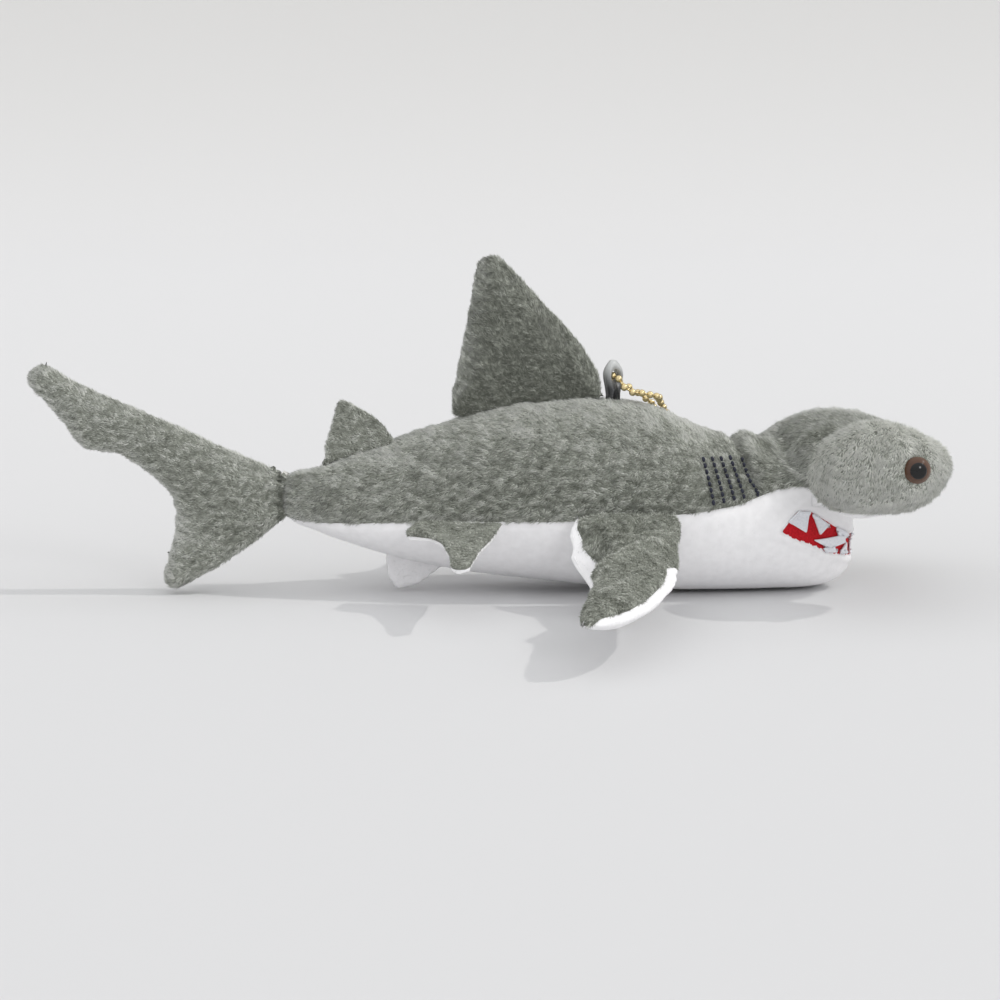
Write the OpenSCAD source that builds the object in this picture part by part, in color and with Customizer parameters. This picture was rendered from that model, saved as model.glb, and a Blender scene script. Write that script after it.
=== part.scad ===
// A plush hammerhead shark: sewn skins over stuffing, safety eyes, felt teeth and a ball chain.
// +X is the snout, +Y is the shark's left, +Z is up, and it rests on z = 0. Millimetres.

/* [Fabric] */
// Thickness of a plush panel with its pile pressed down
skin = 1.3; // [1:0.1:1.4]
// Gap left between neighbouring pieces
gap = 0.12; // [0.05:0.01:0.15]
// Thickness of one layer of the thin, unstuffed fins
thin_skin = 1; // [0.8:0.1:1.2]

/* [Body] */
// Height of the widest line of the body, as a share of its height
waist = 0.45; // [0.42:0.01:0.48]
// Roundness of the back: 2 is an ellipse, more is boxier
back_fullness = 2.1; // [2:0.1:2.4]
// Roundness of the belly
belly_fullness = 2.4; // [2.2:0.1:2.6]

/* [Head] */
// Width of the hammer from eye to eye
hammer_w = 92; // [88:1:94]
// Half of the hammer's length from front to rear
hammer_reach = 18.4; // [17.5:0.1:18.6]
// Half of the hammer's thickness
hammer_half_t = 11.4; // [10.5:0.1:11.6]
// Radius of an eye
eye_r = 3.5; // [3:0.1:4]

/* [Fins] */
// Thickness of the stuffed tail fin
tail_t = 8; // [6:0.5:9]
// Thickness of the stuffed main dorsal fin
dorsal_t = 9; // [7:0.5:10]
// Thickness of a stuffed pectoral fin
pectoral_t = 7; // [6:0.5:7.5]
// How far the pectoral fins slope down from level, in degrees
pectoral_droop = 13.3; // [10:0.1:14]

/* [Chain] */
// Diameter of a chain bead
bead_d = 2; // [1.8:0.1:2.1]
// Distance from bead to bead
bead_pitch = 2.8; // [2.7:0.05:2.9]

/* [Hidden] */
$fn = 32;

GREY = [0.44, 0.45, 0.42];
WHITE = [0.93, 0.93, 0.93];
FILL = [0.85, 0.84, 0.8];

// ---- Sizes along the body ----

// Sections of the body: x, crest height, keel height, half width, height of the grey-to-white seam.
// A keel below zero is cut flat at z = 0, which makes the strip that the shark rests on.
BODY = [
    [-49, 32.6, 18.8, 2, 20],
    [-46, 33.4, 17.2, 5.4, 19.6],
    [-41, 35, 15, 9, 19.4],
    [-32, 38, 12, 12.5, 19.6],
    [-22, 41.2, 9, 15.5, 20.2],
    [-12, 45.2, 6.8, 18, 20.5],
    [-2, 48, 5, 20, 20.7],
    [10, 49.8, 3.6, 21.8, 20.8],
    [22, 51.2, 2.2, 23.2, 20.9],
    [33, 52.4, 1, 24, 21.1],
    [40, 52.4, 0.3, 24.4, 21.4],
    [48, 50.2, -0.4, 24.4, 22],
    [55, 46.4, -0.8, 24, 23],
    [61, 43.4, -0.8, 23.4, 24],
    [67, 41.4, -0.8, 22.6, 25],
    [71, 41.4, -0.8, 22, 25.6],
    [77, 43, -0.8, 21.6, 26.4],
    [82.8, 45, -0.8, 20.8, 27.2],
    [84, 45.4, -0.8, 20.6, 23.6],
    [88, 46, -0.8, 19.6, 23.6],
    [92, 46, -0.6, 17.6, 23.6],
    [95, 46, 0.4, 15, 23.6],
    [97.5, 46, 2, 11.6, 23.6],
    [99.3, 46, 4.5, 7.4, 23.6],
    [100.2, 46, 8, 2.6, 23.6]
];
neck_x = 82.9;          // behind this the grey back covers the body, ahead of it there is only the jaw
jaw_round_x = 92;       // the jaw starts to round off here
jaw_round_l = 8.2;      // and this is how long its rounding is
jaw_stuffing_z = 23.1;  // top of the stuffing in the jaw

function stations(column) = [for (row = BODY) [row[0], row[column]]];
function crest_z(x) = lookup(x, stations(1));
function keel_z(x) = lookup(x, stations(2));
function half_width(x) = lookup(x, stations(3));
function seam_z(x) = lookup(x, stations(4));
function widest_z(x) = keel_z(x) + waist * (crest_z(x) - keel_z(x));

function signed_power(v, p) = sign(v) * pow(abs(v), p);
function fullness(angle) = cos(angle) > 0 ? back_fullness : belly_fullness;

// A point on the body's surface. angle is 0 at the crest and grows towards the left and the keel;
// out is how far outside the surface the point lies.
function body_point(x, angle, out = 0) =
    let (
        p = 2 / fullness(angle),
        middle = widest_z(x),
        reach = cos(angle) > 0 ? crest_z(x) - middle : middle - keel_z(x),
        y = (half_width(x) + out) * signed_power(sin(angle), p),
        z = middle + (reach + out) * signed_power(cos(angle), p)
    )
    [x, y, max(z, -out)];

// The angle at which the left side of the body has the height z.
function angle_at(x, z) =
    let (middle = widest_z(x))
    z > middle
        ? acos(pow((z - middle) / (crest_z(x) - middle), back_fullness / 2))
        : 180 - acos(pow((middle - z) / (middle - keel_z(x)), belly_fullness / 2));

function seam_angle(x) = angle_at(x, seam_z(x));

// Pulls an inner surface back from the rounded front of the jaw.
function pulled_back(p, depth) =
    p.x > jaw_round_x ? p - [depth * pow((p.x - jaw_round_x) / jaw_round_l, 2), 0, 0] : p;

// ---- Shared solids ----

function unit(v) = v / norm(v);
function halves(a, b, c, d) = [[a, b, c], [a, c, d]];
function flat_list(nested) = [for (inner = nested) each inner];

// A sheet between two grids of points of the same size. A row, crossed with a column, points out.
module sheet(outer, inner) {
    rows = len(outer);
    cols = len(outer[0]);
    size = rows * cols;
    top_faces = [
        for (i = [0:rows - 2], j = [0:cols - 2])
            each halves(i * cols + j, i * cols + j + 1, (i + 1) * cols + j + 1, (i + 1) * cols + j)
    ];
    under_faces = [for (f = top_faces) [f[2] + size, f[1] + size, f[0] + size]];
    rim = concat(
        [for (j = [0:cols - 1]) j],
        [for (i = [1:rows - 1]) i * cols + cols - 1],
        [for (j = [cols - 2:-1:0]) (rows - 1) * cols + j],
        [for (i = [rows - 2:-1:1]) i * cols]
    );
    rim_faces = [
        for (k = [0:len(rim) - 1])
            let (a = rim[k], b = rim[(k + 1) % len(rim)])
            each halves(b, a, a + size, b + size)
    ];
    polyhedron(
        points = concat(flat_list(outer), flat_list(inner)),
        faces = concat(top_faces, under_faces, rim_faces)
    );
}

// Twice the area of a flat triangle, above zero when its corners run anticlockwise.
function turn_of(a, b, c) = (b.x - a.x) * (c.y - a.y) - (b.y - a.y) * (c.x - a.x);

// How well a triangle can be cut off at corner k of an outline: zero if it can't, and less the thinner it is.
function ear(points, loop, k) =
    let (
        n = len(loop),
        a = points[loop[(k + n - 1) % n]],
        b = points[loop[k]],
        c = points[loop[(k + 1) % n]],
        turn = turn_of(a, b, c),
        inside = [
            for (i = loop)
                let (p = points[i])
                if (p != a && p != b && p != c && min(turn_of(a, b, p), turn_of(b, c, p), turn_of(c, a, p)) >= 0)
                    p
        ]
    )
    turn > 0 && len(inside) == 0 ? turn / pow(max(norm(b - a), norm(c - b), norm(a - c)), 2) : 0;

// Triangles that fill an anticlockwise outline, whose points are given by their places in a list.
function filled(points, loop) =
    let (
        n = len(loop),
        ears = [for (k = [0:n - 1]) ear(points, loop, k)],
        best = search(max(ears), ears)[0]
    )
    n < 4
        ? [loop]
        : concat(
            [[loop[(best + n - 1) % n], loop[best], loop[(best + 1) % n]]],
            filled(points, [for (i = [0:n - 1]) if (i != best) loop[i]])
        );

function places(list) = [for (i = [0:len(list) - 1]) i];
function shifted(faces, by) = [for (f = faces) [for (i = f) i + by]];
function turned_over(faces) = [for (f = faces) [for (i = [len(f) - 1:-1:0]) f[i]]];

// A solid through a stack of rings with the same number of points. end is the faces that close its first ring.
module stack(rings, end = undef) {
    n = len(rings[0]);
    last = (len(rings) - 1) * n;
    sides = [
        for (k = [0:len(rings) - 2], i = [0:n - 1])
            let (j = (i + 1) % n)
            each halves(k * n + i, (k + 1) * n + i, (k + 1) * n + j, k * n + j)
    ];
    closing = is_undef(end) ? [places(rings[0])] : end;
    polyhedron(
        points = flat_list(rings),
        faces = concat(sides, closing, shifted(turned_over(closing), last))
    );
}

// A round rod between two points.
module rod(from, to, r) {
    along = to - from;
    translate(from)
        rotate([0, acos(along.z / norm(along)), atan2(along.y, along.x)])
            cylinder(r = r, h = norm(along), $fn = 16);
}

function arc(centre, r, from, to, steps) =
    [for (k = [0:steps]) let (a = from + (to - from) * k / steps) centre + r * [cos(a), sin(a)]];

// Radius of the largest circle that touches point i of an outline and holds none of its other points.
function room(outline, i, inwards) =
    min([
        for (p = outline)
            let (way = p - outline[i], ahead = way * inwards)
            ahead > 0.01 ? way * way / (2 * ahead) : 1000
    ]);

// An anticlockwise outline moved inwards by d, and by less where the outline is narrower than that.
function inset(outline, d) =
    let (n = len(outline))
    [
        for (i = [0:n - 1])
            let (
                along = unit(outline[(i + 1) % n] - outline[(i + n - 1) % n]),
                inwards = [-along.y, along.x],
                space = room(outline, i, inwards)
            )
            outline[i] + inwards * min(d, 0.85 * space)
    ];

fill_clearance = 0.45;  // between the stuffing and the flats of the skins round it

// How a stuffed fin swells: pairs of distance from its edge, and share of its half thickness.
SWELL = [[0, 0], [1.6, 0.62], [3.4, 1]];

function swell_ring(outline, step, half, depth) =
    [for (p = inset(outline, step[0] + depth)) [p.x, p.y, max(step[1] * (half - depth), gap / 2)]];

// One side of a stuffed fin: a swollen skin over a hollow, on the +Z side of its outline.
module swollen_skin(outline, thickness) {
    n = len(outline);
    outer = [for (step = SWELL) swell_ring(outline, step, thickness / 2, 0)];
    inner = [for (step = SWELL) swell_ring(outline, step, thickness / 2, skin)];
    steps = len(SWELL);
    outer_sides = [
        for (k = [0:steps - 2], i = [0:n - 1])
            let (j = (i + 1) % n)
            each halves(k * n + i, (k + 1) * n + i, (k + 1) * n + j, k * n + j)
    ];
    shift = steps * n;
    inner_sides = [for (f = outer_sides) [f[2] + shift, f[1] + shift, f[0] + shift]];
    rim = [for (i = [0:n - 1]) let (j = (i + 1) % n) each halves(i, j, j + shift, i + shift)];
    top = (steps - 1) * n;
    caps = concat(
        shifted(turned_over(filled(outer[steps - 1], places(outline))), top),
        shifted(filled(inner[steps - 1], places(outline)), shift + top)
    );
    polyhedron(
        points = concat(flat_list(outer), flat_list(inner)),
        faces = concat(outer_sides, inner_sides, rim, caps)
    );
}

// The stuffing that fills both sides of a stuffed fin.
module swollen_stuffing(outline, thickness) {
    depth = skin + fill_clearance;
    half = thickness / 2;
    upper = [for (step = SWELL) swell_ring(outline, step, half, depth)];
    lower = [
        for (k = [len(SWELL) - 1:-1:1])
            [for (p = swell_ring(outline, SWELL[k], half, depth)) [p.x, p.y, -p.z]]
    ];
    stack(concat(lower, upper), filled(lower[0], places(outline)));
}

// Stands a flat fin up in the plane y = 0, with its +Z side on the shark's right.
module upright() {
    rotate([90, 0, 0])
        children();
}

// ---- Body ----

back_steps = 8;
belly_steps = 12;

module back_skin(side) {
    rows = [for (row = BODY) if (row[0] < neck_x) row[0]];
    function line(x, out) = [
        for (k = [0:back_steps])
            let (
                a = (seam_angle(x) - 0.4) * k / back_steps,
                p = body_point(x, a, out)
            )
            [p.x, max(p.y, gap / 2), p.z]
    ];
    color(GREY)
        mirror([0, side == "left" ? 0 : 1, 0])
            sheet([for (x = rows) line(x, 0)], [for (x = rows) line(x, -skin)]);
}

module belly_skin() {
    function line(x, out) = [
        for (k = [0:belly_steps])
            let (a = seam_angle(x) + (360 - 2 * seam_angle(x)) * k / belly_steps)
            body_point(x, a, out)
    ];
    color(WHITE)
        sheet(
            [for (row = BODY) line(row[0], 0)],
            [for (row = BODY) [for (p = line(row[0], -skin)) pulled_back(p, skin)]]
        );
}

module torso_stuffing() {
    depth = skin + fill_clearance;
    function ring(x) = [
        for (a = [360:-20:20])
            let (p = body_point(x, a, -depth))
            pulled_back([p.x, p.y, x > neck_x ? min(p.z, jaw_stuffing_z) : p.z], depth)
    ];
    stations_used = concat(
        [for (row = BODY) if (row[0] < neck_x - 1) row[0]],
        [neck_x - 0.9, neck_x + 0.05],
        [for (row = BODY) if (row[0] > neck_x) row[0]]
    );
    color(FILL)
        stack([for (x = stations_used) ring(x)]);
}

// ---- Head ----

head_centre = [101.6, 36.2];  // x and z of the hammer's middle
head_seam = 55;               // how far below level the grey reaches round the hammer's edges, in degrees
brow_w = 21;                  // the hammer's rear is square to the neck within this half width
tip_rounding = 8;             // how late the hammer's ends round off

// Stations across the hammer, as shares of its half width.
HEAD_STATIONS = [0, 0.22, 0.42, 0.55, 0.68, 0.79, 0.87, 0.93, 0.97, 0.99, 1];
function across(stations_used) =
    concat(
        [for (k = [len(stations_used) - 1:-1:1]) -stations_used[k]],
        stations_used
    );

function smooth(t) = let (c = min(max(t, 0), 1)) c * c * (3 - 2 * c);

// A point on the hammer. share is -1 to 1 across it, angle is 0 at the front and 90 on top.
function head_point(share, angle, depth = 0) =
    let (
        y = share * hammer_w / 2,
        size = sqrt(1 - pow(abs(share), tip_rounding)),
        square = 1 - smooth((abs(y) - brow_w) / 9),
        p = cos(angle) < 0 ? 2 / (2 + 2.4 * square) : 1,
        crown = 1 + 0.06 * square,
        reach = max(hammer_reach * size - depth, 0.4),
        half = max(hammer_half_t * size * (sin(angle) > 0 ? crown : 1) - depth, 0.3),
        x = head_centre[0] + reach * signed_power(cos(angle), p),
        z = head_centre[1] + half * signed_power(sin(angle), p) * (1 - 0.2 * cos(angle))
    )
    [x, y * (1 - depth / (hammer_w / 2)), z];

module head_skin(from, to, steps) {
    used = across(HEAD_STATIONS);
    function line(share, depth) =
        [for (k = [0:steps]) head_point(share, from + (to - from) * k / steps, depth)];
    sheet([for (s = used) line(s, 0)], [for (s = used) line(s, skin)]);
}

module head_top_skin() {
    color(GREY)
        difference() {
            head_skin(-head_seam, 180 + head_seam, 16);
            for (side = [-1, 1])
                eye_place(side) {
                    translate([0, 0, -4 * shank_r])
                        cylinder(r = shank_r + gap, h = 8 * shank_r);
                    translate([0, 0, -gap])
                        cylinder(r = eye_r + gap, h = dome_h);
                }
        }
}

module head_underside_skin() {
    color(WHITE)
        head_skin(180 + head_seam + 1, 360 - head_seam - 1, 6);
}

module head_stuffing() {
    depth = skin + gap;
    used = across([for (s = HEAD_STATIONS) if (s < 0.8) s]);
    color(FILL)
        stack([for (s = used) [for (a = [0:22.5:337.5]) head_point(s, a, depth)]]);
}

// ---- Eyes ----

eye_centre = [109.4, 45.2, 36.6];  // where the back of the left eye's dome touches the plush
shank_r = 1.3;
shank_l = 7.4;
dome_h = 2.1;
pupil_r = 2.4;
pupil_t = 0.6;
washer_r = 4;
washer_t = 1;

// Puts an eye, drawn looking along +Z, on the left (1) or the right (-1) of the head.
module eye_place(side) {
    translate([eye_centre[0], side * eye_centre[1], eye_centre[2]])
        rotate([-90 * side, 0, 0])
            children();
}

module eye_dome(side) {
    // A cap of a sphere, eye_r wide and dome_h high.
    ball_r = (eye_r * eye_r + dome_h * dome_h) / (2 * dome_h);
    color([0.3, 0.16, 0.07])
        eye_place(side)
            difference() {
                intersection() {
                    translate([0, 0, dome_h - ball_r])
                        sphere(r = ball_r, $fn = 64);
                    cylinder(r = 2 * eye_r, h = dome_h);
                }
                translate([0, 0, -gap])
                    cylinder(r = pupil_r + gap / 2, h = pupil_t + 2 * gap);
            }
}

module eye_pupil(side) {
    color([0.02, 0.02, 0.02])
        eye_place(side) {
            cylinder(r = pupil_r, h = pupil_t);
            translate([0, 0, -shank_l])
                cylinder(r = shank_r, h = shank_l + pupil_t / 2);
        }
}

module eye_washer(side) {
    color([0.9, 0.9, 0.88])
        eye_place(side)
            translate([0, 0, -shank_l + washer_t])
                difference() {
                    cylinder(r = washer_r, h = washer_t);
                    translate([0, 0, -washer_t])
                        cylinder(r = shank_r + gap / 2, h = 3 * washer_t);
                }
}

// ---- Mouth ----

mouth_z = [10.6, 20.2];    // lowest and highest line of the red lining
mouth_centre_x = 80.6;     // the mouth's curve, seen from above, is half an ellipse about here
mouth_reach = 20;          // from there to the front
mouth_half_w = 21.2;       // and to either side
mouth_spread = 86;         // the corners are this many degrees either side of the front
felt_t = 0.8;

function mouth_point(a, z, out) =
    [mouth_centre_x + (mouth_reach + out) * cos(a), (mouth_half_w + out) * sin(a), z];

module mouth_lining() {
    angles = [for (k = [-16:16]) mouth_spread * k / 16];
    function edge(out) = [for (a = angles) let (p = mouth_point(a, 0, out)) [p.x, p.y]];
    inner = edge(0.3);
    color([0.72, 0.06, 0.09])
        translate([0, 0, mouth_z[0]])
            linear_extrude(mouth_z[1] - mouth_z[0])
                polygon(concat(edge(0.3 + felt_t), [for (k = [len(inner) - 1:-1:0]) inner[k]]));
}

// A zigzag strip of felt on the lining. root is its straight edge, and tip how far a tooth reaches.
module teeth(root, notch, tip, first) {
    halves_used = 12;
    out = 0.4 + felt_t;
    columns = [for (k = [-halves_used:halves_used]) k];
    function point_z(k) = (k + first) % 2 == 0 ? tip : notch;
    function line(k, o) =
        let (a = (mouth_spread - 2) * k / halves_used, low = min(root, point_z(k)), high = max(root, point_z(k)))
        [mouth_point(a, low, o), mouth_point(a, high, o)];
    color(WHITE)
        sheet([for (k = columns) line(k, out + felt_t)], [for (k = columns) line(k, out)]);
}

module upper_teeth() {
    teeth(20.4, 19, 14, 0);
}

module lower_teeth() {
    teeth(10.2, 11.6, 15.4, 1);
}

// ---- Gill stitches ----

// Each row runs down and forward: x at its top and at its bottom.
GILL_ROWS = [[58.7, 61.1], [61.3, 63.9], [63.9, 66.8], [66.5, 69.7], [72.2, 73.4]];
gill_top_z = 37;
gill_stitches = 8;
stitch_r = 0.35;

module gill_stitches(side) {
    function row_point(row, t) =
        let (
            x = row[0] + (row[1] - row[0]) * t,
            low = seam_z(x) + 1,
            z = gill_top_z + (low - gill_top_z) * t
        )
        body_point(x, angle_at(x, z), stitch_r + gap);
    color([0.1, 0.11, 0.16])
        mirror([0, side == "left" ? 0 : 1, 0])
            for (row = GILL_ROWS, k = [0:gill_stitches - 1])
                rod(
                    row_point(row, (k + 0.1) / gill_stitches),
                    row_point(row, (k + 0.75) / gill_stitches),
                    stitch_r
                );
}

// ---- Tail fin ----

// x and z, anticlockwise from the foot of the seam, so the list runs up the trailing edge last.
TAIL = concat(
    [[-51.4, 19.4], [-51.8, 24], [-52.2, 28.6], [-52.8, 33]],
    [[-62, 37.3], [-74, 42.8], [-86, 48.2], [-98, 53.6], [-108, 58.2]],
    arc([-115.4, 57.7], 4.6, 72, 205, 6),
    [[-117.2, 53.2], [-113.6, 49.6], [-109.6, 44.6], [-107.2, 40.4]],
    [[-104.4, 38.2], [-100.8, 38], [-96, 37.4], [-90.4, 33.8], [-85.2, 30], [-82, 26.4], [-80.8, 22]],
    [[-81.4, 16.6], [-83.2, 10.4], [-84.8, 5]],
    arc([-81.6, 3.3], 3.1, 190, 300, 4),
    [[-76.4, 2.4], [-70.4, 5.6], [-63, 10.4], [-56, 15.6]]
);

module tail_skin(side) {
    color(GREY)
        mirror([0, side == "left" ? 1 : 0, 0])
            upright()
                swollen_skin(TAIL, tail_t);
}

module tail_stuffing() {
    color(FILL)
        upright()
            swollen_stuffing(TAIL, tail_t);
}

// ---- Dorsal and anal fins ----

DORSAL = concat(
    [[-6, 48.8], [0.6, 49.8], [7, 50.7], [14, 51.7], [21, 52.6], [28, 53.5], [33.4, 54.2]],
    [[32.6, 58.6], [29.4, 64.8], [24.8, 71], [17.2, 79.2], [11.4, 85.4]],
    arc([4.2, 86.4], 4.6, 40, 172, 6),
    [[-1.4, 80], [-2.7, 72], [-3.8, 64], [-4.9, 56.4]]
);

module dorsal_skin(side) {
    color(GREY)
        mirror([0, side == "left" ? 1 : 0, 0])
            upright()
                swollen_skin(DORSAL, dorsal_t);
}

module dorsal_stuffing() {
    color(FILL)
        upright()
            swollen_stuffing(DORSAL, dorsal_t);
}

REAR_DORSAL = concat(
    [[-42, 36.4], [-32, 39.4], [-22.4, 42.6], [-24.6, 45], [-29, 48.8]],
    arc([-36, 50.4], 1.7, 50, 190, 4),
    [[-39.4, 43.6]]
);

ANAL_FIN = concat(
    [[-26, 8.6], [-24.4, 4.4]],
    arc([-21, 1.8], 1.5, 190, 290, 4),
    [[-16, 1.4], [-11, 3], [-6.4, 4.3], [-16, 6.3]]
);

// One of the two layers of a fin that has no stuffing.
module thin_layer(outline, side) {
    mirror([0, side == "left" ? 1 : 0, 0])
        upright()
            translate([0, 0, gap / 2])
                linear_extrude(thin_skin)
                    polygon(outline);
}

module rear_dorsal_skin(side) {
    color(GREY)
        thin_layer(REAR_DORSAL, side);
}

module anal_fin_skin(side) {
    color(WHITE)
        thin_layer(ANAL_FIN, side);
}

// ---- Pectoral fins ----

pectoral_root = [24.9, 20];  // y and z of the left fin's root
// Span from the root, x of the leading edge, x of the trailing edge.
PECTORAL = [
    [0.6, 51.4, 25.8], [5, 52.2, 23.8], [10, 52.4, 22.8], [16, 52.1, 22.6], [22, 51.5, 23.4],
    [27, 50.9, 25], [32, 50.2, 27.2], [38, 49.2, 27.8], [45, 47, 26.6], [52, 43.6, 24.6],
    [58, 39.8, 22.6], [62.6, 36, 21.4], [66, 31.8, 21.2], [68, 28, 22.4]
];
lobe_drop = 5;       // how much lower the rear inner lobe hangs than the blade
chord_steps = 8;

// Half thickness of the fin at a share of its chord and at a span.
function pectoral_half(t, s) =
    let (round_tip = pow(min(1, (69 - s) / 8), 0.5), round_root = pow(min(1, s / 3), 0.4))
    pectoral_t / 2 * pow(max(1 - pow(abs(2 * t - 1), 2.6), 0), 0.6) * round_tip * round_root;

// A point of the left fin: row, share of the chord from the rear to the front, height off its middle.
function pectoral_point(row, t, lift) =
    let (
        s = row[0],
        x = row[2] + (row[1] - row[2]) * t,
        lobe = lobe_drop * smooth((36 - x) / 10) * smooth(s / 12) * smooth((31 - s) / 12),
        y = pectoral_root[0] + s * cos(pectoral_droop) + lift * sin(pectoral_droop),
        z = pectoral_root[1] - s * sin(pectoral_droop) + lift * cos(pectoral_droop) - lobe
    )
    [x, y, z];

module pectoral_sheet(rows, ts, high, low) {
    sheet(
        [for (row = rows) [for (t = ts) pectoral_point(row, t, high(row[0], t))]],
        [for (row = rows) [for (t = ts) pectoral_point(row, t, low(row[0], t))]]
    );
}

CHORD = [for (k = [chord_steps:-1:0]) (1 - cos(180 * k / chord_steps)) / 2];

module on_side(side) {
    mirror([0, side == "left" ? 0 : 1, 0])
        children();
}

module pectoral_upper_skin(side) {
    color(GREY)
        on_side(side)
            pectoral_sheet(
                PECTORAL,
                [for (k = [chord_steps:-1:0]) CHORD[k]],
                function (s, t) max(pectoral_half(t, s), 0.5),
                function (s, t) max(pectoral_half(t, s) - skin, gap / 2)
            );
}

module pectoral_lower_skin(side) {
    color(WHITE)
        on_side(side)
            pectoral_sheet(
                PECTORAL,
                [for (k = [chord_steps:-1:0]) CHORD[k]],
                function (s, t) -max(pectoral_half(t, s) - skin, gap / 2),
                function (s, t) -max(pectoral_half(t, s), 0.5)
            );
}

module pectoral_stuffing(side) {
    rows = [for (row = PECTORAL) if (row[0] > 2 && row[0] < 64) row];
    inner = [for (k = [chord_steps - 1:-1:1]) CHORD[k]];
    color(FILL)
        on_side(side)
            pectoral_sheet(
                rows,
                inner,
                function (s, t) max(pectoral_half(t, s) - skin - gap, 0.02),
                function (s, t) -max(pectoral_half(t, s) - skin - gap, 0.02)
            );
}

// ---- Pelvic fins ----

pelvic_hinge = [-13.6, 19, 20.8];  // rear end of the left fin's root line
pelvic_toe = 9;                    // the root line turns outwards towards the front by this, in degrees
pelvic_droop = 13.4;               // slope below level

// Along the root line, and out from it.
PELVIC = concat(
    [[-2.6, 1], [20, 1], [18.8, 6], [17.4, 12], [15.8, 20], [14.4, 27]],
    arc([11.2, 31.2], 2.8, 10, 165, 5),
    [[7.4, 24.6], [6, 18.6], [4.2, 14.8], [1.4, 12]],
    arc([-3.2, 8.6], 2.2, 80, 210, 4)
);

module pelvic_layer(side, layer) {
    on_side(side)
        translate(pelvic_hinge)
            rotate([-pelvic_droop, 0, pelvic_toe])
                translate([0, 0, layer == "upper" ? gap / 2 : -gap / 2 - thin_skin])
                    linear_extrude(thin_skin)
                        polygon(PELVIC);
}

module pelvic_upper_skin(side) {
    color(GREY)
        pelvic_layer(side, "upper");
}

module pelvic_lower_skin(side) {
    color(WHITE)
        pelvic_layer(side, "lower");
}

// ---- Ribbon loop and ball chain ----

loop_centre = [36.9, 0, 57.8];  // middle of the loop's eye, where the chain hangs
loop_turn = -60;                // direction of the eye's axis, seen from above
loop_hole_r = 1.75;
ribbon_t = 0.5;
ribbon_w = 3.4;
ribbon_foot = 4.2;              // from the eye's middle down to the ribbon's foot

// Half width of the loop at each height is round at the eye and narrows to its foot.
function loop_outline(r, foot, foot_w) =
    concat(arc([0, 0], r, -15, 195, 14), [[-foot_w, -foot], [foot_w, -foot]]);

module ribbon_loop() {
    color([0.32, 0.33, 0.33])
        translate(loop_centre)
            rotate([90, 0, loop_turn + 90])
                translate([0, 0, -ribbon_w / 2])
                    linear_extrude(ribbon_w)
                        difference() {
                            polygon(loop_outline(loop_hole_r + ribbon_t, ribbon_foot, 1));
                            polygon(loop_outline(loop_hole_r, ribbon_foot - ribbon_t, 0.5));
                        }
}

// The first beads of the two strands, from the eye to where both lie side by side on the left flank.
FRONT_STRAND = [
    [38.2, -2.3, 57.1], [39.6, -3.4, 54.9], [41.9, -3, 53.5], [44.5, -2, 53.2], [46.9, -0.6, 52.6],
    [48.9, 1.4, 52]
];
REAR_STRAND = [
    [35.6, 2.3, 57.3], [36.7, 4.8, 56.6], [39.3, 5.5, 55.7], [41.9, 5.8, 54.2], [44.4, 6.4, 52.6],
    [46.7, 7.4, 50.9]
];
flank_clearance = 2.6;   // from the plush to a bead's centre
strand_gap = 2.6;        // between the strands, along x
flank_x = [50, 58.4];    // where the front strand starts down the flank, and where it ends
flank_beads = 13;
drop_radius = 2.8;       // of the loop at the chain's lowest point
connector_l = 3.4;
connector_r = 1.5;

// The line that the front strand follows down the flank, as closely spaced points.
FLANK = [
    for (a = [8:2:90])
        body_point(flank_x[0] + (flank_x[1] - flank_x[0]) * smooth((a - 8) / 50), a, flank_clearance)
];
flank_foot = FLANK[len(FLANK) - 1];
FLANK_LINE = concat(FLANK, [flank_foot - [0, 0, 20]]);

// The point a distance s along a line of points.
function along(line, s, i = 0) =
    let (step = norm(line[i + 1] - line[i]))
    s <= step || i == len(line) - 2
        ? line[i] + (line[i + 1] - line[i]) * s / step
        : along(line, s - step, i + 1);

// Bead k on the flank. shift moves it to the rear strand.
function flank_bead(k, shift) = along(FLANK_LINE, k * bead_pitch) - [shift, 0, 0];

last_bead = flank_bead(flank_beads - 1, 0);
drop_middle = [last_bead.x - strand_gap / 2, flank_foot.y, last_bead.z - 3.9];

// The loop at the bottom: two beads a side, then the connector.
function drop_bead(side, a) = drop_middle + drop_radius * [side * cos(a), 0, sin(a)];
DROP_ANGLES = [32, -24];

upper_flank = 3;   // how many flank beads the upper length has
middle_flank = 6;  // how many the middle length has

function strand(top_beads, first, shift, side) = concat(
    [loop_centre],
    top_beads,
    [for (k = [first:flank_beads - 1]) flank_bead(k, shift)],
    [for (a = DROP_ANGLES) drop_bead(side, a)]
);
FRONT = strand(FRONT_STRAND, 0, 0, 1);
REAR = strand(REAR_STRAND, 2, strand_gap, -1);

// The number of a strand's bead that starts the middle and the lower length.
FRONT_CUTS = [1 + len(FRONT_STRAND) + upper_flank, 1 + len(FRONT_STRAND) + upper_flank + middle_flank];
REAR_CUTS = [FRONT_CUTS[0] - 2, FRONT_CUTS[1] - 2];

module beads(line, from, to) {
    for (k = [from:to - 1])
        translate(line[k])
            sphere(r = bead_d / 2, $fn = 20);
}

// The wire between bead k and the next, from surface to surface.
module links(line, from, to) {
    for (k = [from:to - 1]) {
        way = unit(line[k + 1] - line[k]);
        rod(line[k] + way * (bead_d / 2 + 0.01), line[k + 1] - way * (bead_d / 2 + 0.01), 0.3);
    }
}

BRASS = [0.83, 0.7, 0.38];

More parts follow.
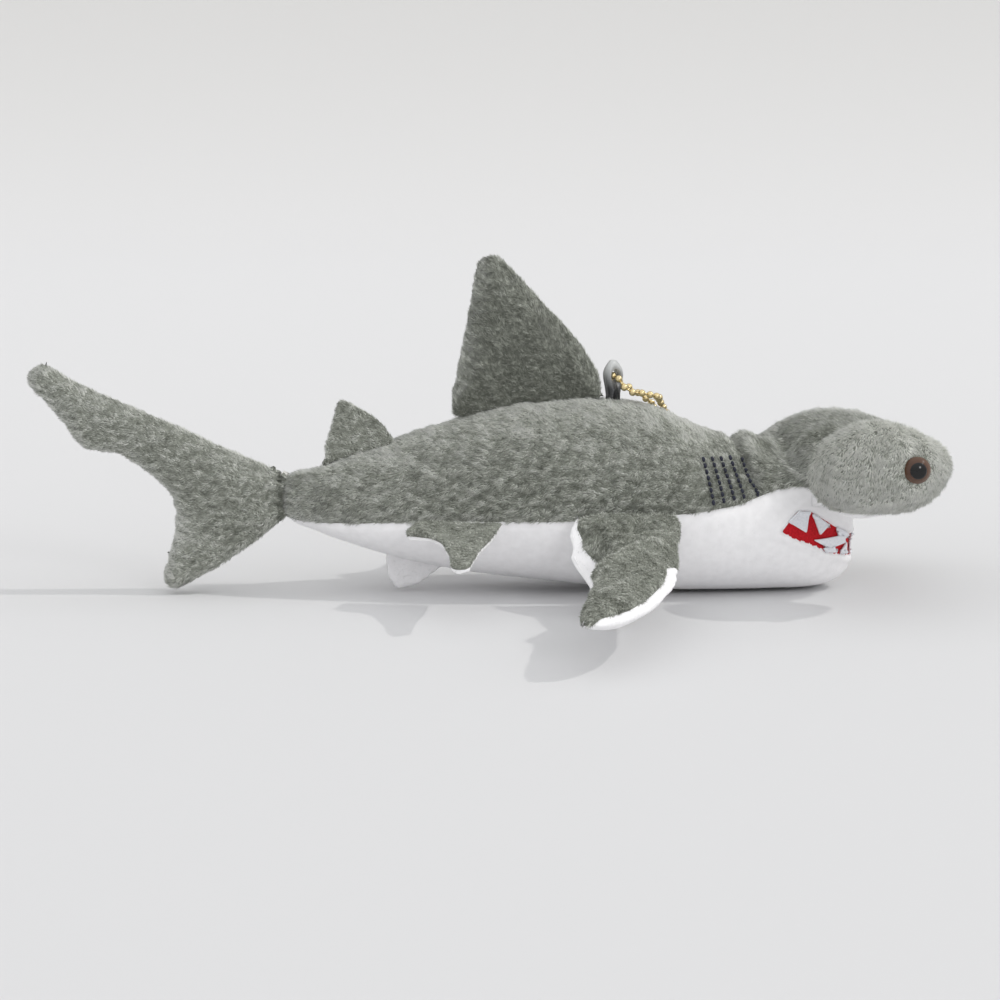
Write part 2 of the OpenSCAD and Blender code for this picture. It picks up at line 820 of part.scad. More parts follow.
module chain_beads(length) {
    color(BRASS)
        if (length == "upper") {
            beads(FRONT, 0, FRONT_CUTS[0]);
            beads(REAR, 1, REAR_CUTS[0]);
        } else if (length == "middle") {
            beads(FRONT, FRONT_CUTS[0], FRONT_CUTS[1]);
            beads(REAR, REAR_CUTS[0], REAR_CUTS[1]);
        } else {
            beads(FRONT, FRONT_CUTS[1], len(FRONT));
            beads(REAR, REAR_CUTS[1], len(REAR));
        }
}

module chain_links(length) {
    color(BRASS)
        if (length == "upper") {
            links(FRONT, 0, FRONT_CUTS[0]);
            links(REAR, 0, REAR_CUTS[0]);
        } else if (length == "middle") {
            links(FRONT, FRONT_CUTS[0], FRONT_CUTS[1]);
            links(REAR, REAR_CUTS[0], REAR_CUTS[1]);
        } else {
            links(FRONT, FRONT_CUTS[1], len(FRONT) - 1);
            links(REAR, REAR_CUTS[1], len(REAR) - 1);
        }
}

module chain_connector() {
    color(BRASS)
        translate(drop_middle - [connector_l / 2, 0, drop_radius + 0.6])
            rotate([0, 90, 0])
                cylinder(r = connector_r, h = connector_l);
}

back_skin("left");  // back_skin_left
back_skin("right");  // back_skin_right
belly_skin();
torso_stuffing();
head_top_skin();
head_underside_skin();
head_stuffing();
eye_dome(1);  // eye_dome_left
eye_pupil(1);  // eye_pupil_left
eye_washer(1);  // eye_washer_left
eye_dome(-1);  // eye_dome_right
eye_pupil(-1);  // eye_pupil_right
eye_washer(-1);  // eye_washer_right
mouth_lining();
upper_teeth();
lower_teeth();
gill_stitches("left");  // gill_stitches_left
gill_stitches("right");  // gill_stitches_right
tail_skin("left");  // tail_skin_left
tail_skin("right");  // tail_skin_right
tail_stuffing();
dorsal_skin("left");  // dorsal_skin_left
dorsal_skin("right");  // dorsal_skin_right
dorsal_stuffing();
rear_dorsal_skin("left");  // rear_dorsal_skin_left
rear_dorsal_skin("right");  // rear_dorsal_skin_right
anal_fin_skin("left");  // anal_fin_skin_left
anal_fin_skin("right");  // anal_fin_skin_right
pectoral_upper_skin("left");  // pectoral_upper_skin_left
pectoral_lower_skin("left");  // pectoral_lower_skin_left
pectoral_stuffing("left");  // pectoral_stuffing_left
pectoral_upper_skin("right");  // pectoral_upper_skin_right
pectoral_lower_skin("right");  // pectoral_lower_skin_right
pectoral_stuffing("right");  // pectoral_stuffing_right
pelvic_upper_skin("left");  // pelvic_upper_skin_left
pelvic_lower_skin("left");  // pelvic_lower_skin_left
pelvic_upper_skin("right");  // pelvic_upper_skin_right
pelvic_lower_skin("right");  // pelvic_lower_skin_right
ribbon_loop();
chain_beads("upper");  // chain_beads_upper
chain_links("upper");  // chain_links_upper
chain_beads("middle");  // chain_beads_middle
chain_links("middle");  // chain_links_middle
chain_beads("lower");  // chain_beads_lower
chain_links("lower");  // chain_links_lower
chain_connector();
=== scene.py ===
"""Looks of a plush hammerhead shark with a ball chain.

Millimetres are used throughout and turned into metres when an object is made.
+X is the snout, +Y is the shark's left, +Z is up.
"""

import math

import bmesh
import bpy
import numpy as np
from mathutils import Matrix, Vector
from mathutils.bvhtree import BVHTree


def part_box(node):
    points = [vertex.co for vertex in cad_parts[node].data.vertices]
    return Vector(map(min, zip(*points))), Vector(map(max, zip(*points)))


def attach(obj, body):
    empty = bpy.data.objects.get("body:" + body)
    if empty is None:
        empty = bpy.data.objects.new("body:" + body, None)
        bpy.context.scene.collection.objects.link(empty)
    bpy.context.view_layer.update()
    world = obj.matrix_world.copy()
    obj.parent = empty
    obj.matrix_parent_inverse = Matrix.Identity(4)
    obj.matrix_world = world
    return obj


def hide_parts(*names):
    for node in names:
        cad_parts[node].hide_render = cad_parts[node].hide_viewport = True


MM = 0.001
WORK = 0.01          # units per millimetre while a form is remeshed and simulated
SKIN = 1.0           # thickness of a sewn panel
SEAM_DEPTH = 0.55    # how far a seam pulls the plush in
SEAM_REACH = 1.3     # and how wide that is
FILL_DEPTH = 1.9     # from the plush down to the stuffing
SIDES = (("left", 1), ("right", -1))

GREY_SHADES = [
    (106, 109, 99), (134, 137, 126), (159, 162, 151), (182, 185, 174),
    (204, 207, 197), (224, 226, 218), (242, 243, 236),
]
WHITE_SHADES = [(244, 243, 244), (249, 248, 249), (253, 252, 253)]

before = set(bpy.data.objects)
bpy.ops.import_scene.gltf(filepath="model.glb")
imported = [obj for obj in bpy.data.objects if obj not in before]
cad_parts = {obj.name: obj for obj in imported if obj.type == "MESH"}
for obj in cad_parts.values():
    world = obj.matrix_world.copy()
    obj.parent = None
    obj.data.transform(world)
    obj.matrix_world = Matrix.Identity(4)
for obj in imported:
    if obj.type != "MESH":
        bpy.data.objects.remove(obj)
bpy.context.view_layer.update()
rng = np.random.default_rng(7)


# ---- Numbers and fields ----

def linear(rgb):
    """An sRGB colour of 0 to 255 as linear light, with alpha."""
    c = np.array(rgb, float) / 255
    c = np.where(c <= 0.04045, c / 12.92, ((c + 0.055) / 1.055) ** 2.4)
    return (*map(float, c), 1.0)


def unit(v):
    return v / np.maximum(np.linalg.norm(v, axis=-1, keepdims=True), 1e-9)


def step(t):
    c = np.clip(t, 0, 1)
    return c * c * (3 - 2 * c)


def waves(points, size, seed):
    """A smooth random field of about -1 to 1, whose bumps are about size across."""
    r = np.random.default_rng(seed)
    way = unit(r.normal(size=(9, 3))) * (2 * math.pi / size) * r.uniform(0.5, 1.2, (9, 1))
    return np.sin(points @ way.T + r.uniform(0, 2 * math.pi, 9)).sum(1) / 4


# ---- Meshes ----

def points_of(mesh):
    points = np.zeros(len(mesh.vertices) * 3, np.float32)
    mesh.vertices.foreach_get("co", points)
    return points.reshape(-1, 3).astype(float)


def triangles_of(mesh):
    mesh.calc_loop_triangles()
    corners = np.zeros(len(mesh.loop_triangles) * 3, np.int32)
    mesh.loop_triangles.foreach_get("vertices", corners)
    return points_of(mesh), corners.reshape(-1, 3)


def node_form(*nodes):
    """The points, in millimetres, and triangles of several CAD nodes."""
    points, faces, base = [], [], 0
    for node in nodes:
        p, t = triangles_of(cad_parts[node].data)
        points.append(p / MM)
        faces.append(t + base)
        base += len(p)
    return np.concatenate(points), np.concatenate(faces)


def plain_mesh(name, points, faces):
    mesh = bpy.data.meshes.new(name)
    mesh.from_pydata(np.asarray(points).tolist(), [], [list(map(int, f)) for f in faces])
    mesh.update()
    return mesh


def linked(name, mesh):
    obj = bpy.data.objects.new(name, mesh)
    bpy.context.scene.collection.objects.link(obj)
    return obj


def evaluated(obj):
    """The mesh of an object with its modifiers, as points and faces, and the object removed."""
    bpy.context.view_layer.update()
    shown = obj.evaluated_get(bpy.context.evaluated_depsgraph_get())
    mesh = bpy.data.meshes.new_from_object(shown)
    result = points_of(mesh), [tuple(p.vertices) for p in mesh.polygons]
    old = obj.data
    bpy.data.objects.remove(obj)
    bpy.data.meshes.remove(old)
    bpy.data.meshes.remove(mesh)
    return result


def sides_of(faces):
    return [side for f in faces for side in zip(f, f[1:] + f[:1])]


def edges_of(faces):
    return np.array(sorted({(min(a, b), max(a, b)) for a, b in sides_of(faces)}))


def relaxed(points, edges, rounds, share=0.5, hold=None):
    """Points drawn towards their neighbours' middle. hold is 1 where a point stays."""
    p = points.copy()
    a, b = edges[:, 0], edges[:, 1]
    count = np.bincount(np.concatenate([a, b]), minlength=len(p))[:, None]
    free = share if hold is None else share * (1 - hold[:, None])
    for _ in range(rounds):
        total = np.zeros_like(p)
        for k in range(p.shape[1]):
            total[:, k] = np.bincount(a, p[b, k], len(p)) + np.bincount(b, p[a, k], len(p))
        p += free * (total / np.maximum(count, 1) - p)
    return p


def fans(faces):
    """Faces of any number of corners as triangles."""
    return np.array([(f[0], f[i], f[i + 1]) for f in faces for i in range(1, len(f) - 1)])


def normals_of(points, faces):
    tri = fans(faces)
    cross = np.cross(points[tri[:, 1]] - points[tri[:, 0]], points[tri[:, 2]] - points[tri[:, 0]])
    n = np.zeros_like(points)
    for k in range(3):
        for c in range(3):
            n[:, k] += np.bincount(tri[:, c], cross[:, k], len(points))
    return unit(n)


def joined(label, pairs):
    """Labels spread along pairs of points, until each connected part has one label of its own."""
    while True:
        low = label.copy()
        np.minimum.at(low, pairs[:, 0], label[pairs[:, 1]])
        np.minimum.at(low, pairs[:, 1], label[pairs[:, 0]])
        low = low[low]
        if (low == label).all():
            return label
        label = low


def largest_part(points, faces):
    """The connected part of a mesh with the largest box."""
    label = joined(np.arange(len(points)), edges_of(faces))
    best = max(np.unique(label), key=lambda k: np.prod(np.ptp(points[label == k], axis=0) + 1e-6))
    keep = label == best
    renumber = np.cumsum(keep) - 1
    kept = [tuple(int(renumber[v]) for v in f) for f in faces if keep[f[0]]]
    return points[keep], kept


def remeshed(points, faces, voxel):
    """One closed surface of even quads round everything given."""
    obj = linked("work", plain_mesh("work", points * WORK, faces))
    modifier = obj.modifiers.new("remesh", "REMESH")
    modifier.mode = "VOXEL"
    modifier.voxel_size = voxel * WORK
    p, f = evaluated(obj)
    return largest_part(p / WORK, f)


def subdivided(points, faces):
    obj = linked("work", plain_mesh("work", points * WORK, faces))
    obj.modifiers.new("subdivision", "SUBSURF").levels = 1
    p, f = evaluated(obj)
    return p / WORK, f


def inflated(points, faces, hold, cap, pressure=4.0, frames=20):
    """The form as cloth, sewn down where hold is 1 and blown up from inside, moved by at most cap."""
    scene = bpy.context.scene
    obj = linked("cloth", plain_mesh("cloth", points * WORK, faces))
    group = obj.vertex_groups.new(name="sewn")
    for i in np.nonzero(hold > 0.02)[0]:
        group.add([int(i)], float(min(hold[i], 1)), "REPLACE")
    cloth = obj.modifiers.new("cloth", "CLOTH")
    s = cloth.settings
    s.quality = 4
    s.mass = 0.3
    s.tension_stiffness = s.compression_stiffness = 30
    s.shear_stiffness = 10
    s.bending_stiffness = 0.6
    s.use_pressure = True
    s.uniform_pressure_force = pressure
    s.vertex_group_mass = "sewn"
    s.effector_weights.gravity = 0
    cloth.collision_settings.use_collision = False
    cloth.point_cache.frame_start = 1
    cloth.point_cache.frame_end = frames
    for k in range(1, frames + 1):
        scene.frame_set(k)
    moved, _ = evaluated(obj)
    scene.frame_set(1)
    way = moved / WORK - points
    far = np.linalg.norm(way, axis=1, keepdims=True)
    return points + way * (cap * np.tanh(far / cap) / np.maximum(far, 1e-9))


def cut(points, faces, keep):
    """The part of a mesh where the field keep is above zero, cut cleanly along its zero line."""
    bm = bmesh.new()
    true = bm.verts.layers.float_vector.new("true")
    verts = [bm.verts.new((p[0], p[1], k)) for p, k in zip(points.tolist(), keep.tolist())]
    for v, p in zip(verts, points.tolist()):
        v[true] = Vector(p)
    for f in faces:
        bm.faces.new([verts[i] for i in f])
    bmesh.ops.bisect_plane(
        bm, geom=bm.verts[:] + bm.edges[:] + bm.faces[:], dist=1e-6,
        plane_co=(0, 0, 0), plane_no=(0, 0, 1), clear_inner=True,
    )
    bm.verts.index_update()
    p = np.array([v[true][:] for v in bm.verts])
    f = [tuple(v.index for v in face.verts) for face in bm.faces]
    bm.free()
    return p, f


# ---- Materials ----

def material(name, colour, roughness, metallic=0.0):
    """A new material, with its main shader and its node tree."""
    mat = bpy.data.materials.new(name)
    mat.use_nodes = True
    shader = mat.node_tree.nodes["Principled BSDF"]
    shader.inputs["Base Color"].default_value = linear(colour)
    shader.inputs["Roughness"].default_value = roughness
    shader.inputs["Metallic"].default_value = metallic
    return mat, shader, mat.node_tree


def added(tree, kind, **inputs):
    """A new shader node with some of its inputs set."""
    node = tree.nodes.new(f"ShaderNode{kind}")
    for key, value in inputs.items():
        node.inputs[key.replace("_", " ")].default_value = value
    return node


def colour_ramp(tree, *stops):
    """A colour ramp through stops, each a place and a colour."""
    node = tree.nodes.new("ShaderNodeValToRGB")
    elements = node.color_ramp.elements
    elements[0].position = stops[0][0]
    elements[-1].position = stops[-1][0]
    for place, _ in stops[1:-1]:
        elements.new(place)
    for element, (_, colour) in zip(elements, stops):
        element.color = linear(colour)
    return node


def wire(tree, *links):
    """Links between shader nodes, each a node, its output, the next node and its input."""
    for source, output, target, into in links:
        tree.links.new(source.outputs[output], target.inputs[into])


def patterned(name, dark, light, size, roughness, bump=0.2, distance=0.15, sheen=0.0):
    """A material whose colour and relief follow noise of the given size in millimetres."""
    mat, shader, tree = material(name, light, roughness)
    coords = added(tree, "TexCoord")
    mapping = added(tree, "Mapping", Scale=(1 / (size * MM),) * 3)
    noise = added(tree, "TexNoise", Scale=1.0, Detail=4.0)
    ramp = colour_ramp(tree, (0.32, dark), (0.68, light))
    relief = added(tree, "Bump", Strength=bump, Distance=distance * MM)
    wire(tree, (coords, "Object", mapping, "Vector"), (mapping, "Vector", noise, "Vector"),
         (noise, "Fac", ramp, "Fac"), (ramp, "Color", shader, "Base Color"),
         (noise, "Fac", relief, "Height"), (relief, "Normal", shader, "Normal"))
    shader.inputs["Sheen Weight"].default_value = sheen
    shader.inputs["Sheen Roughness"].default_value = 0.5
    return mat


def fibre(name, colour):
    mat, shader, _ = material(name, colour, 0.75)
    shader.inputs["Sheen Weight"].default_value = 0.5
    shader.inputs["Specular IOR Level"].default_value = 0.25
    return mat


grey_cloth = patterned("grey plush backing", (104, 107, 98), (150, 153, 143), 1.1, 0.95, sheen=0.2)
white_cloth = patterned("white plush", (244, 243, 244), (251, 250, 251), 2.2, 0.95, 0.15, 0.1, sheen=0.1)
fill_cloth = patterned("polyester fill", (214, 212, 206), (236, 235, 230), 0.8, 1.0, 0.6, 0.4)
red_felt = patterned("red felt", (176, 6, 20), (208, 22, 38), 0.5, 0.95, 0.4, 0.15)
white_felt = patterned("white felt", (228, 230, 236), (243, 244, 248), 0.5, 0.95, 0.3, 0.12)
thread = patterned("gill thread", (22, 25, 38), (44, 48, 66), 0.4, 0.7, 0.5, 0.1)
washer_plastic = patterned("washer plastic", (214, 213, 208), (228, 227, 222), 3, 0.5, 0.05)
grey_fibres = [fibre(f"grey pile {i}", c) for i, c in enumerate(GREY_SHADES)]
white_fibres = [fibre(f"white pile {i}", c) for i, c in enumerate(WHITE_SHADES)]


def brass_material():
    mat, shader, tree = material("brass plating", (224, 205, 158), 0.22, 1.0)
    noise = added(tree, "TexNoise", Scale=900)
    spread = added(tree, "MapRange", To_Min=0.14, To_Max=0.34)
    wire(tree, (noise, "Fac", spread, "Value"), (spread, "Result", shader, "Roughness"))
    return mat


def gloss(name, dark, light):
    """Glossy moulded plastic, darker in its depth than at its rim."""
    mat, shader, tree = material(name, light, 0.08)
    shader.inputs["Specular IOR Level"].default_value = 0.45
    facing = added(tree, "LayerWeight", Blend=0.35)
    ramp = colour_ramp(tree, (0, dark), (1, light))
    wire(tree, (facing, "Facing", ramp, "Fac"), (ramp, "Color", shader, "Base Color"))
    return mat


brass = brass_material()
iris_plastic = gloss("eye iris", (74, 48, 34), (112, 84, 64))
pupil_plastic = gloss("eye pupil", (5, 5, 6), (12, 11, 11))


# ---- Pieces ----

def piece(name, points, faces, body, finish, mat, replaces):
    """A new object, from millimetres, that rides on a CAD body and takes the place of some of its nodes."""
    mesh = plain_mesh(name, np.asarray(points) * MM, faces)
    mesh.materials.append(mat)
    mesh.polygons.foreach_set("use_smooth", np.ones(len(mesh.polygons), bool))
    obj = linked(name, mesh)
    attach(obj, body)
    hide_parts(*replaces)
    return obj


def shell(points, faces, thickness=SKIN):
    """An open panel given a thickness on its inner side."""
    inner = points - normals_of(points, faces) * thickness
    count = len(points)
    directed = dict.fromkeys(sides_of(faces))
    rim = [(b, a, a + count, b + count) for a, b in directed if (b, a) not in directed]
    under = [tuple(v + count for v in reversed(f)) for f in faces]
    return np.concatenate([points, inner]), list(faces) + under + rim


def panel(name, points, faces, body, finish, mat, replaces, fill=0.8):
    """A sewn skin over stuffing."""
    p, f = shell(points, faces)
    obj = piece(name, p, f, body, finish, mat, replaces)
    return obj


def scattered(points, faces, density):
    """Random places on a surface, so many to a square millimetre, and the surface's direction at each."""
    tri = fans(faces)
    normal = normals_of(points, faces)
    a, b, c = (points[tri[:, k]] for k in range(3))
    area = np.linalg.norm(np.cross(b - a, c - a), axis=1) / 2
    count = int(area.sum() * density)
    pick = rng.choice(len(tri), count, p=area / area.sum())
    u, v = rng.random((2, count, 1))
    u, v = np.where(u + v > 1, 1 - u, u), np.where(u + v > 1, 1 - v, v)
    root = a[pick] + u * (b[pick] - a[pick]) + v * (c[pick] - a[pick])
    n = unit(normal[tri[pick, 0]] * (1 - u - v) + normal[tri[pick, 1]] * u + normal[tri[pick, 2]] * v)
    return root, n


def tuft_mesh(name, root, n, axis, reach, half):
    """Slim three-sided pyramids with their feet just under the surface, three faces to each."""
    across = unit(np.cross(axis, n + 1e-3))
    over = np.cross(axis, across)
    base = root - n * 0.12
    verts = np.stack([
        base + across * half,
        base - across * half * 0.5 + over * half * 0.87,
        base - across * half * 0.5 - over * half * 0.87,
        base + axis * reach[:, None],
    ], axis=1).reshape(-1, 3)
    first = np.arange(len(root))[:, None] * 4
    spikes = np.concatenate([first + [[0, 1, 3]], first + [[1, 2, 3]], first + [[2, 0, 3]]])
    mesh = bpy.data.meshes.new(name)
    mesh.vertices.add(len(verts))
    mesh.vertices.foreach_set("co", (verts * MM).astype(np.float32).ravel())
    mesh.loops.add(len(spikes) * 3)
    mesh.loops.foreach_set("vertex_index", spikes.astype(np.int32).ravel())
    mesh.polygons.add(len(spikes))
    mesh.polygons.foreach_set("loop_start", np.arange(0, len(spikes) * 3, 3, dtype=np.int32))
    return mesh


def pile(name, points, faces, body, finish, fibres, comb, density, length, width,
         lean=62, short=None, tone_and_light=None):
    """Tufts of plush pile that lean along comb, by lean degrees from upright.

    short gives the share of its length that a tuft keeps, and the last argument the shades added to it:
    their tone, with painted light and shade.
    """
    root, n = scattered(points, faces, density)
    count = len(root)
    way = unit(comb(root))
    way = way - n * (way * n).sum(1, keepdims=True)
    side = np.cross(n, unit(way))
    swirl = (0.55 * waves(root, 5.5, 3) + 0.5 * waves(root, 2.2, 4))[:, None]
    flow = unit(unit(way) + side * (swirl + rng.normal(0, 0.28, (count, 1))))
    tilt = np.radians(lean + 9 * waves(root, 3.1, 5) + rng.normal(0, 9, count))[:, None]
    axis = unit(n * np.cos(tilt) + flow * np.sin(tilt))
    curl = waves(root, 1.7, 9) + 0.6 * waves(root, 0.9, 12)
    reach = length * (rng.uniform(0.7, 1.25, count) + 0.12 * waves(root, 4.0, 6) + 0.16 * curl)
    if short is not None:
        left = short(root)
        keep = left > 0.05
        root, n, axis, curl, reach = root[keep], n[keep], axis[keep], curl[keep], (reach * left)[keep]
        count = len(root)
    half = (width / 2 * rng.uniform(0.7, 1.3, count))[:, None]
    patch = 0.6 * waves(root, 22.0, 10) + 0.6 * waves(root, 6.0, 8) + 1.7 * curl
    tone = (len(fibres) - 1) / 2 + 0.9 * patch + rng.normal(0, 1.1, count)
    if tone_and_light is not None:
        # tone, and painted light and shade, added to each tuft
        tone += tone_and_light(root, n)
    tone = np.clip(np.round(tone), 0, len(fibres) - 1).astype(int)
    mesh = tuft_mesh(name, root, n, axis, reach, half)
    for mat in fibres:
        mesh.materials.append(mat)
    mesh.update(calc_edges=True)
    mesh.polygons.foreach_set("material_index", np.tile(tone, 3).astype(np.int32))
    mesh.polygons.foreach_set("use_smooth", np.ones(count * 3, bool))
    obj = linked(name, mesh)
    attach(obj, body)
    return obj


# ---- Sizes read from the frame ----

def lower_edge(node):
    """x, and the lowest z of a skin, at each of its sections."""
    p, _ = node_form(node)
    return np.array([(x, p[np.abs(p[:, 0] - x) < 0.15, 2].min()) for x in np.unique(np.round(p[:, 0], 1))])


SEAM = lower_edge("back_skin_left")
WING_SEAM = 24.6     # height of the seam round the ends of the hammer
WING_Y = (22, 31)    # where the seam drops from the cheek to the hammer's end


def seam_z(p):
    """Height of the line where the grey back meets the white belly, above or below a point."""
    x = p[:, 0]
    cheek = np.interp(x, SEAM[:, 0], SEAM[:, 1]) + 2.6 * step((x - 66) / 16)
    out = step((np.abs(p[:, 1]) - WING_Y[0]) / (WING_Y[1] - WING_Y[0]))
    return cheek + (WING_SEAM - cheek) * out


hammer_low, hammer_high = (np.array(v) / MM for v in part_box("head_top_skin"))
hammer_x, _, hammer_z = (hammer_low + hammer_high) / 2
brow_y = hammer_high[1] / 2


def neck_line(p):
    """Above zero ahead of the seam that joins the head to the back."""
    return p[:, 0] - (69.2 + 0.36 * (41.5 - p[:, 2]))


def above_seam(p):
    return p[:, 2] - seam_z(p)


# ---- The mouth, laid out by the angle round the jaw and the height ----

JAW_X = 80.6         # x of the line that the jaw's angles turn round
JAW_REACH = 20.2     # from there to the lips
JAW_CORE = 12        # nothing nearer to that line belongs to the mouth
LIP_ANGLES = [0, 20, 30, 45, 52, 60, 68, 74, 80, 86, 90, 93]
UPPER_LIP = [14.6, 15.2, 16, 18.2, 19.6, 21, 22.6, 23, 22.8, 20.2, 18.2, 17.4]
LOWER_LIP = [9.2, 9.6, 10.2, 11, 11.6, 13, 14, 14.8, 15.4, 16.4, 17.4, 17.5]
UPPER_TEETH = [
    [(88, 20.4), (80, 23.4), (69.5, 23.2), (71.5, 17.1)],
    [(67.5, 22.8), (49.5, 19), (59, 16.3)],
    [(44, 18.4), (24, 15.6), (34, 13)],
    [(20, 15.6), (-2, 15), (9, 11.6)],
]
LOWER_TEETH = [
    [(65, 15.1), (33, 15.6), (28, 13.4), (50, 12.5)],
    [(57, 12.2), (43, 13.4), (40, 10.6), (54, 11.2)],
    [(36, 10.2), (22, 9.6), (26, 13.4)],
    [(18, 9.4), (2, 9.2), (9, 12.6)],
]


def jaw_angle(p):
    """Angle round the jaw in degrees, the same on both sides and zero at the front."""
    return np.degrees(np.arctan2(np.abs(p[:, 1]), p[:, 0] - JAW_X))


def off_jaw_core(p):
    return np.hypot(p[:, 0] - JAW_X, p[:, 1]) - JAW_CORE


def in_mouth(p):
    """Above zero inside the lips, in millimetres."""
    angle = jaw_angle(p)
    torn = 0.3 * np.sin(angle * 1.9) * np.sin(angle * 0.83 + 1)
    high = np.interp(angle, LIP_ANGLES, UPPER_LIP) - p[:, 2]
    low = p[:, 2] - np.interp(angle, LIP_ANGLES, LOWER_LIP) + torn
    behind = (92 - angle) * math.radians(JAW_REACH)
    return np.minimum.reduce([high, low, behind, off_jaw_core(p)])


def in_tooth(p, corners):
    """Above zero inside a tooth whose corners are given as angle and height."""
    scale = math.radians(JAW_REACH)
    spot = np.stack([jaw_angle(p) * scale, p[:, 2]], 1)
    outline = [np.array((angle * scale, z)) for angle, z in corners]
    middle = np.mean(outline, axis=0)
    inside = off_jaw_core(p)
    for here, there in zip(outline, outline[1:] + outline[:1]):
        way = (there - here) / np.linalg.norm(there - here)
        across = np.array((-way[1], way[0]))
        across *= np.sign((middle - here) @ across)
        inside = np.minimum(inside, (spot - here) @ across)
    return inside


# ---- Stuffing under a skin ----

def tree_of(points, faces):
    return BVHTree.FromPolygons([Vector(p) for p in points.tolist()], [tuple(map(int, f)) for f in faces])


def depth_under(p, faces, core):
    """How deep each point of core lies under the surface, and its nearest place and direction there."""
    tree = tree_of(p, faces)
    found = [tree.find_nearest(Vector(point)) for point in core.tolist()]
    place = np.array([f[0] for f in found])
    way = np.array([f[1] for f in found])
    return ((place - core) * way).sum(1), place, way


def kept_inside(p, faces, core, least=0.8):
    """The core with every point at least that deep under the surface."""
    deep, place, way = depth_under(p, faces, core)
    shallow = (deep < least)[:, None]
    return np.where(shallow, place - way * least, core)


# ---- The body and head, as one stuffed form ----

BROW_X = [66, 72, 77, 82, 87, 93, 100, 107, 113, 116]
BROW_TOP = [38.8, 42.2, 40.6, 43.2, 46.2, 48.0, 48.4, 46.8, 43.4, 41]


def brow():
    """The rounded mass between the neck and the hammer, as a closed bag."""
    sections, around = 18, 18
    rows = []
    for x in np.linspace(BROW_X[0], BROW_X[-1], sections):
        share = (x - BROW_X[0]) / (BROW_X[-1] - BROW_X[0])
        top = float(np.interp(x, BROW_X, BROW_TOP))
        middle = 31 + 3 * share
        half = 17 + 2.5 * share
        for turn in np.radians(np.arange(0, 360, 360 // around)):
            high = top - middle if math.sin(turn) > 0 else 6
            rows.append((x, half * math.cos(turn), middle + high * math.sin(turn)))
    points = np.array(rows)
    first, last, end = len(points), len(points) + 1, len(points) - around
    points = np.concatenate([points, [points[:around].mean(0)], [points[-around:].mean(0)]])
    faces = []
    for i in range(0, end, around):
        for k in range(around):
            a, b = i + k, i + (k + 1) % around
            faces += [(a, a + around, b + around), (a, b + around, b)]
    for k in range(around):
        after = (k + 1) % around
        faces += [(first, k, after), (last, end + after, end + k)]
    return points, np.array(faces)


def shaped(p):
    """The stuffed shape of the head, jaw and tail end, where it differs from the even CAD form."""
    out = p.copy()
    x, z = p[:, 0], p[:, 2]
    y = np.abs(p[:, 1])
    head = step((x - 78) / 5) * step((z - 21) / 3)
    # The hammer's ends swell, and it is drawn in between them and the brow.
    end = step((y - 27.5) / 4)
    pinch = 0.36 * np.exp(-((y - 24.5) / 4.0) ** 2)
    grow = head * (0.13 * end - pinch)
    out[:, 0] += grow * (x - hammer_x) + 1.9 * head * end
    out[:, 2] += grow * (z - hammer_z) - 1.1 * head * end * step((hammer_z - z) / 8)
    # The tops of both ends slope down behind, and the left end droops and reaches back.
    upper = np.clip((z - hammer_z + 8) / 20, 0, 1)
    back = hammer_x - x
    lobes = head * step((y - 20) / 8)
    left = head * step((p[:, 1] - 16) / 12)
    out[:, 0] -= 5 * left * step((back - 4) / 12)
    out[:, 2] -= upper * lobes * (0.34 * np.maximum(back - 5, 0) + 3.0 * left)
    # The brow is flatter, with a dip behind it at the neck.
    out[:, 2] -= upper * (head - lobes) * (2.3 + 0.3 * np.maximum(back - 8, 0))
    out[:, 2] -= 2.4 * np.exp(-((x - 77.5) / 3) ** 2) * step((z - 34) / 6)
    # The jaw is drawn out ahead, and the body's end back to the tail.
    jaw = step((27 - z) / 4) * step((24 - y) / 4)
    out[:, 0] += 3.2 * jaw * np.clip((x - 84) / 17, 0, 1) ** 2
    out[:, 0] -= 3.2 * step((-43 - x) / 5)
    return out


def body_form():
    """The body and head as one surface: shaped, blown up between its seams, and drawn in at them."""
    points, faces = node_form(
        "back_skin_left", "back_skin_right", "belly_skin", "torso_stuffing",
        "head_top_skin", "head_underside_skin", "head_stuffing",
    )
    extra, more = brow()
    faces = np.concatenate([faces, more + len(points)])
    points = np.concatenate([points, extra])
    p, f = remeshed(points, faces, 1.5)
    edges = edges_of(f)
    p = shaped(relaxed(p, edges, 8))
    p = relaxed(p, edges, 2)
    p -= normals_of(p, f) * 0.4
    floor = p[:, 2] < 1.0
    seam = np.exp(-(above_seam(p) / 1.6) ** 2)
    neck = np.exp(-(neck_line(p) / 2.0) ** 2) * step((above_seam(p) + 1) / 2)
    mouth = step((in_mouth(p) + 2) / 2)
    hold = np.clip(np.maximum.reduce([seam, neck, mouth, floor]), 0, 1)
    p = inflated(p, f, hold, 1.3)
    p, f = subdivided(p, f)
    inside = in_mouth(p)
    inward = SEAM_DEPTH * np.exp(-(above_seam(p) / SEAM_REACH) ** 2) * (inside < 0)
    inward += 1.7 * np.exp(-(neck_line(p) / 1.9) ** 2) * step((above_seam(p) - 1) / 4)
    inward += 0.35 * np.exp(-(p[:, 1] / 0.9) ** 2) * (p[:, 2] > 25)
    inward += 1.1 * step((inside + 0.6) / 1.2) - 0.5 * np.exp(-((inside + 1.3) / 0.9) ** 2)
    dents = 0.7 * waves(p, 34, 11) + 0.3 * waves(p, 17, 12)
    p -= normals_of(p, f) * (inward + dents * step((p[:, 2] - 14) / 14))[:, None]
    p[:, 2] = np.maximum(p[:, 2], 0.0)
    return p, f


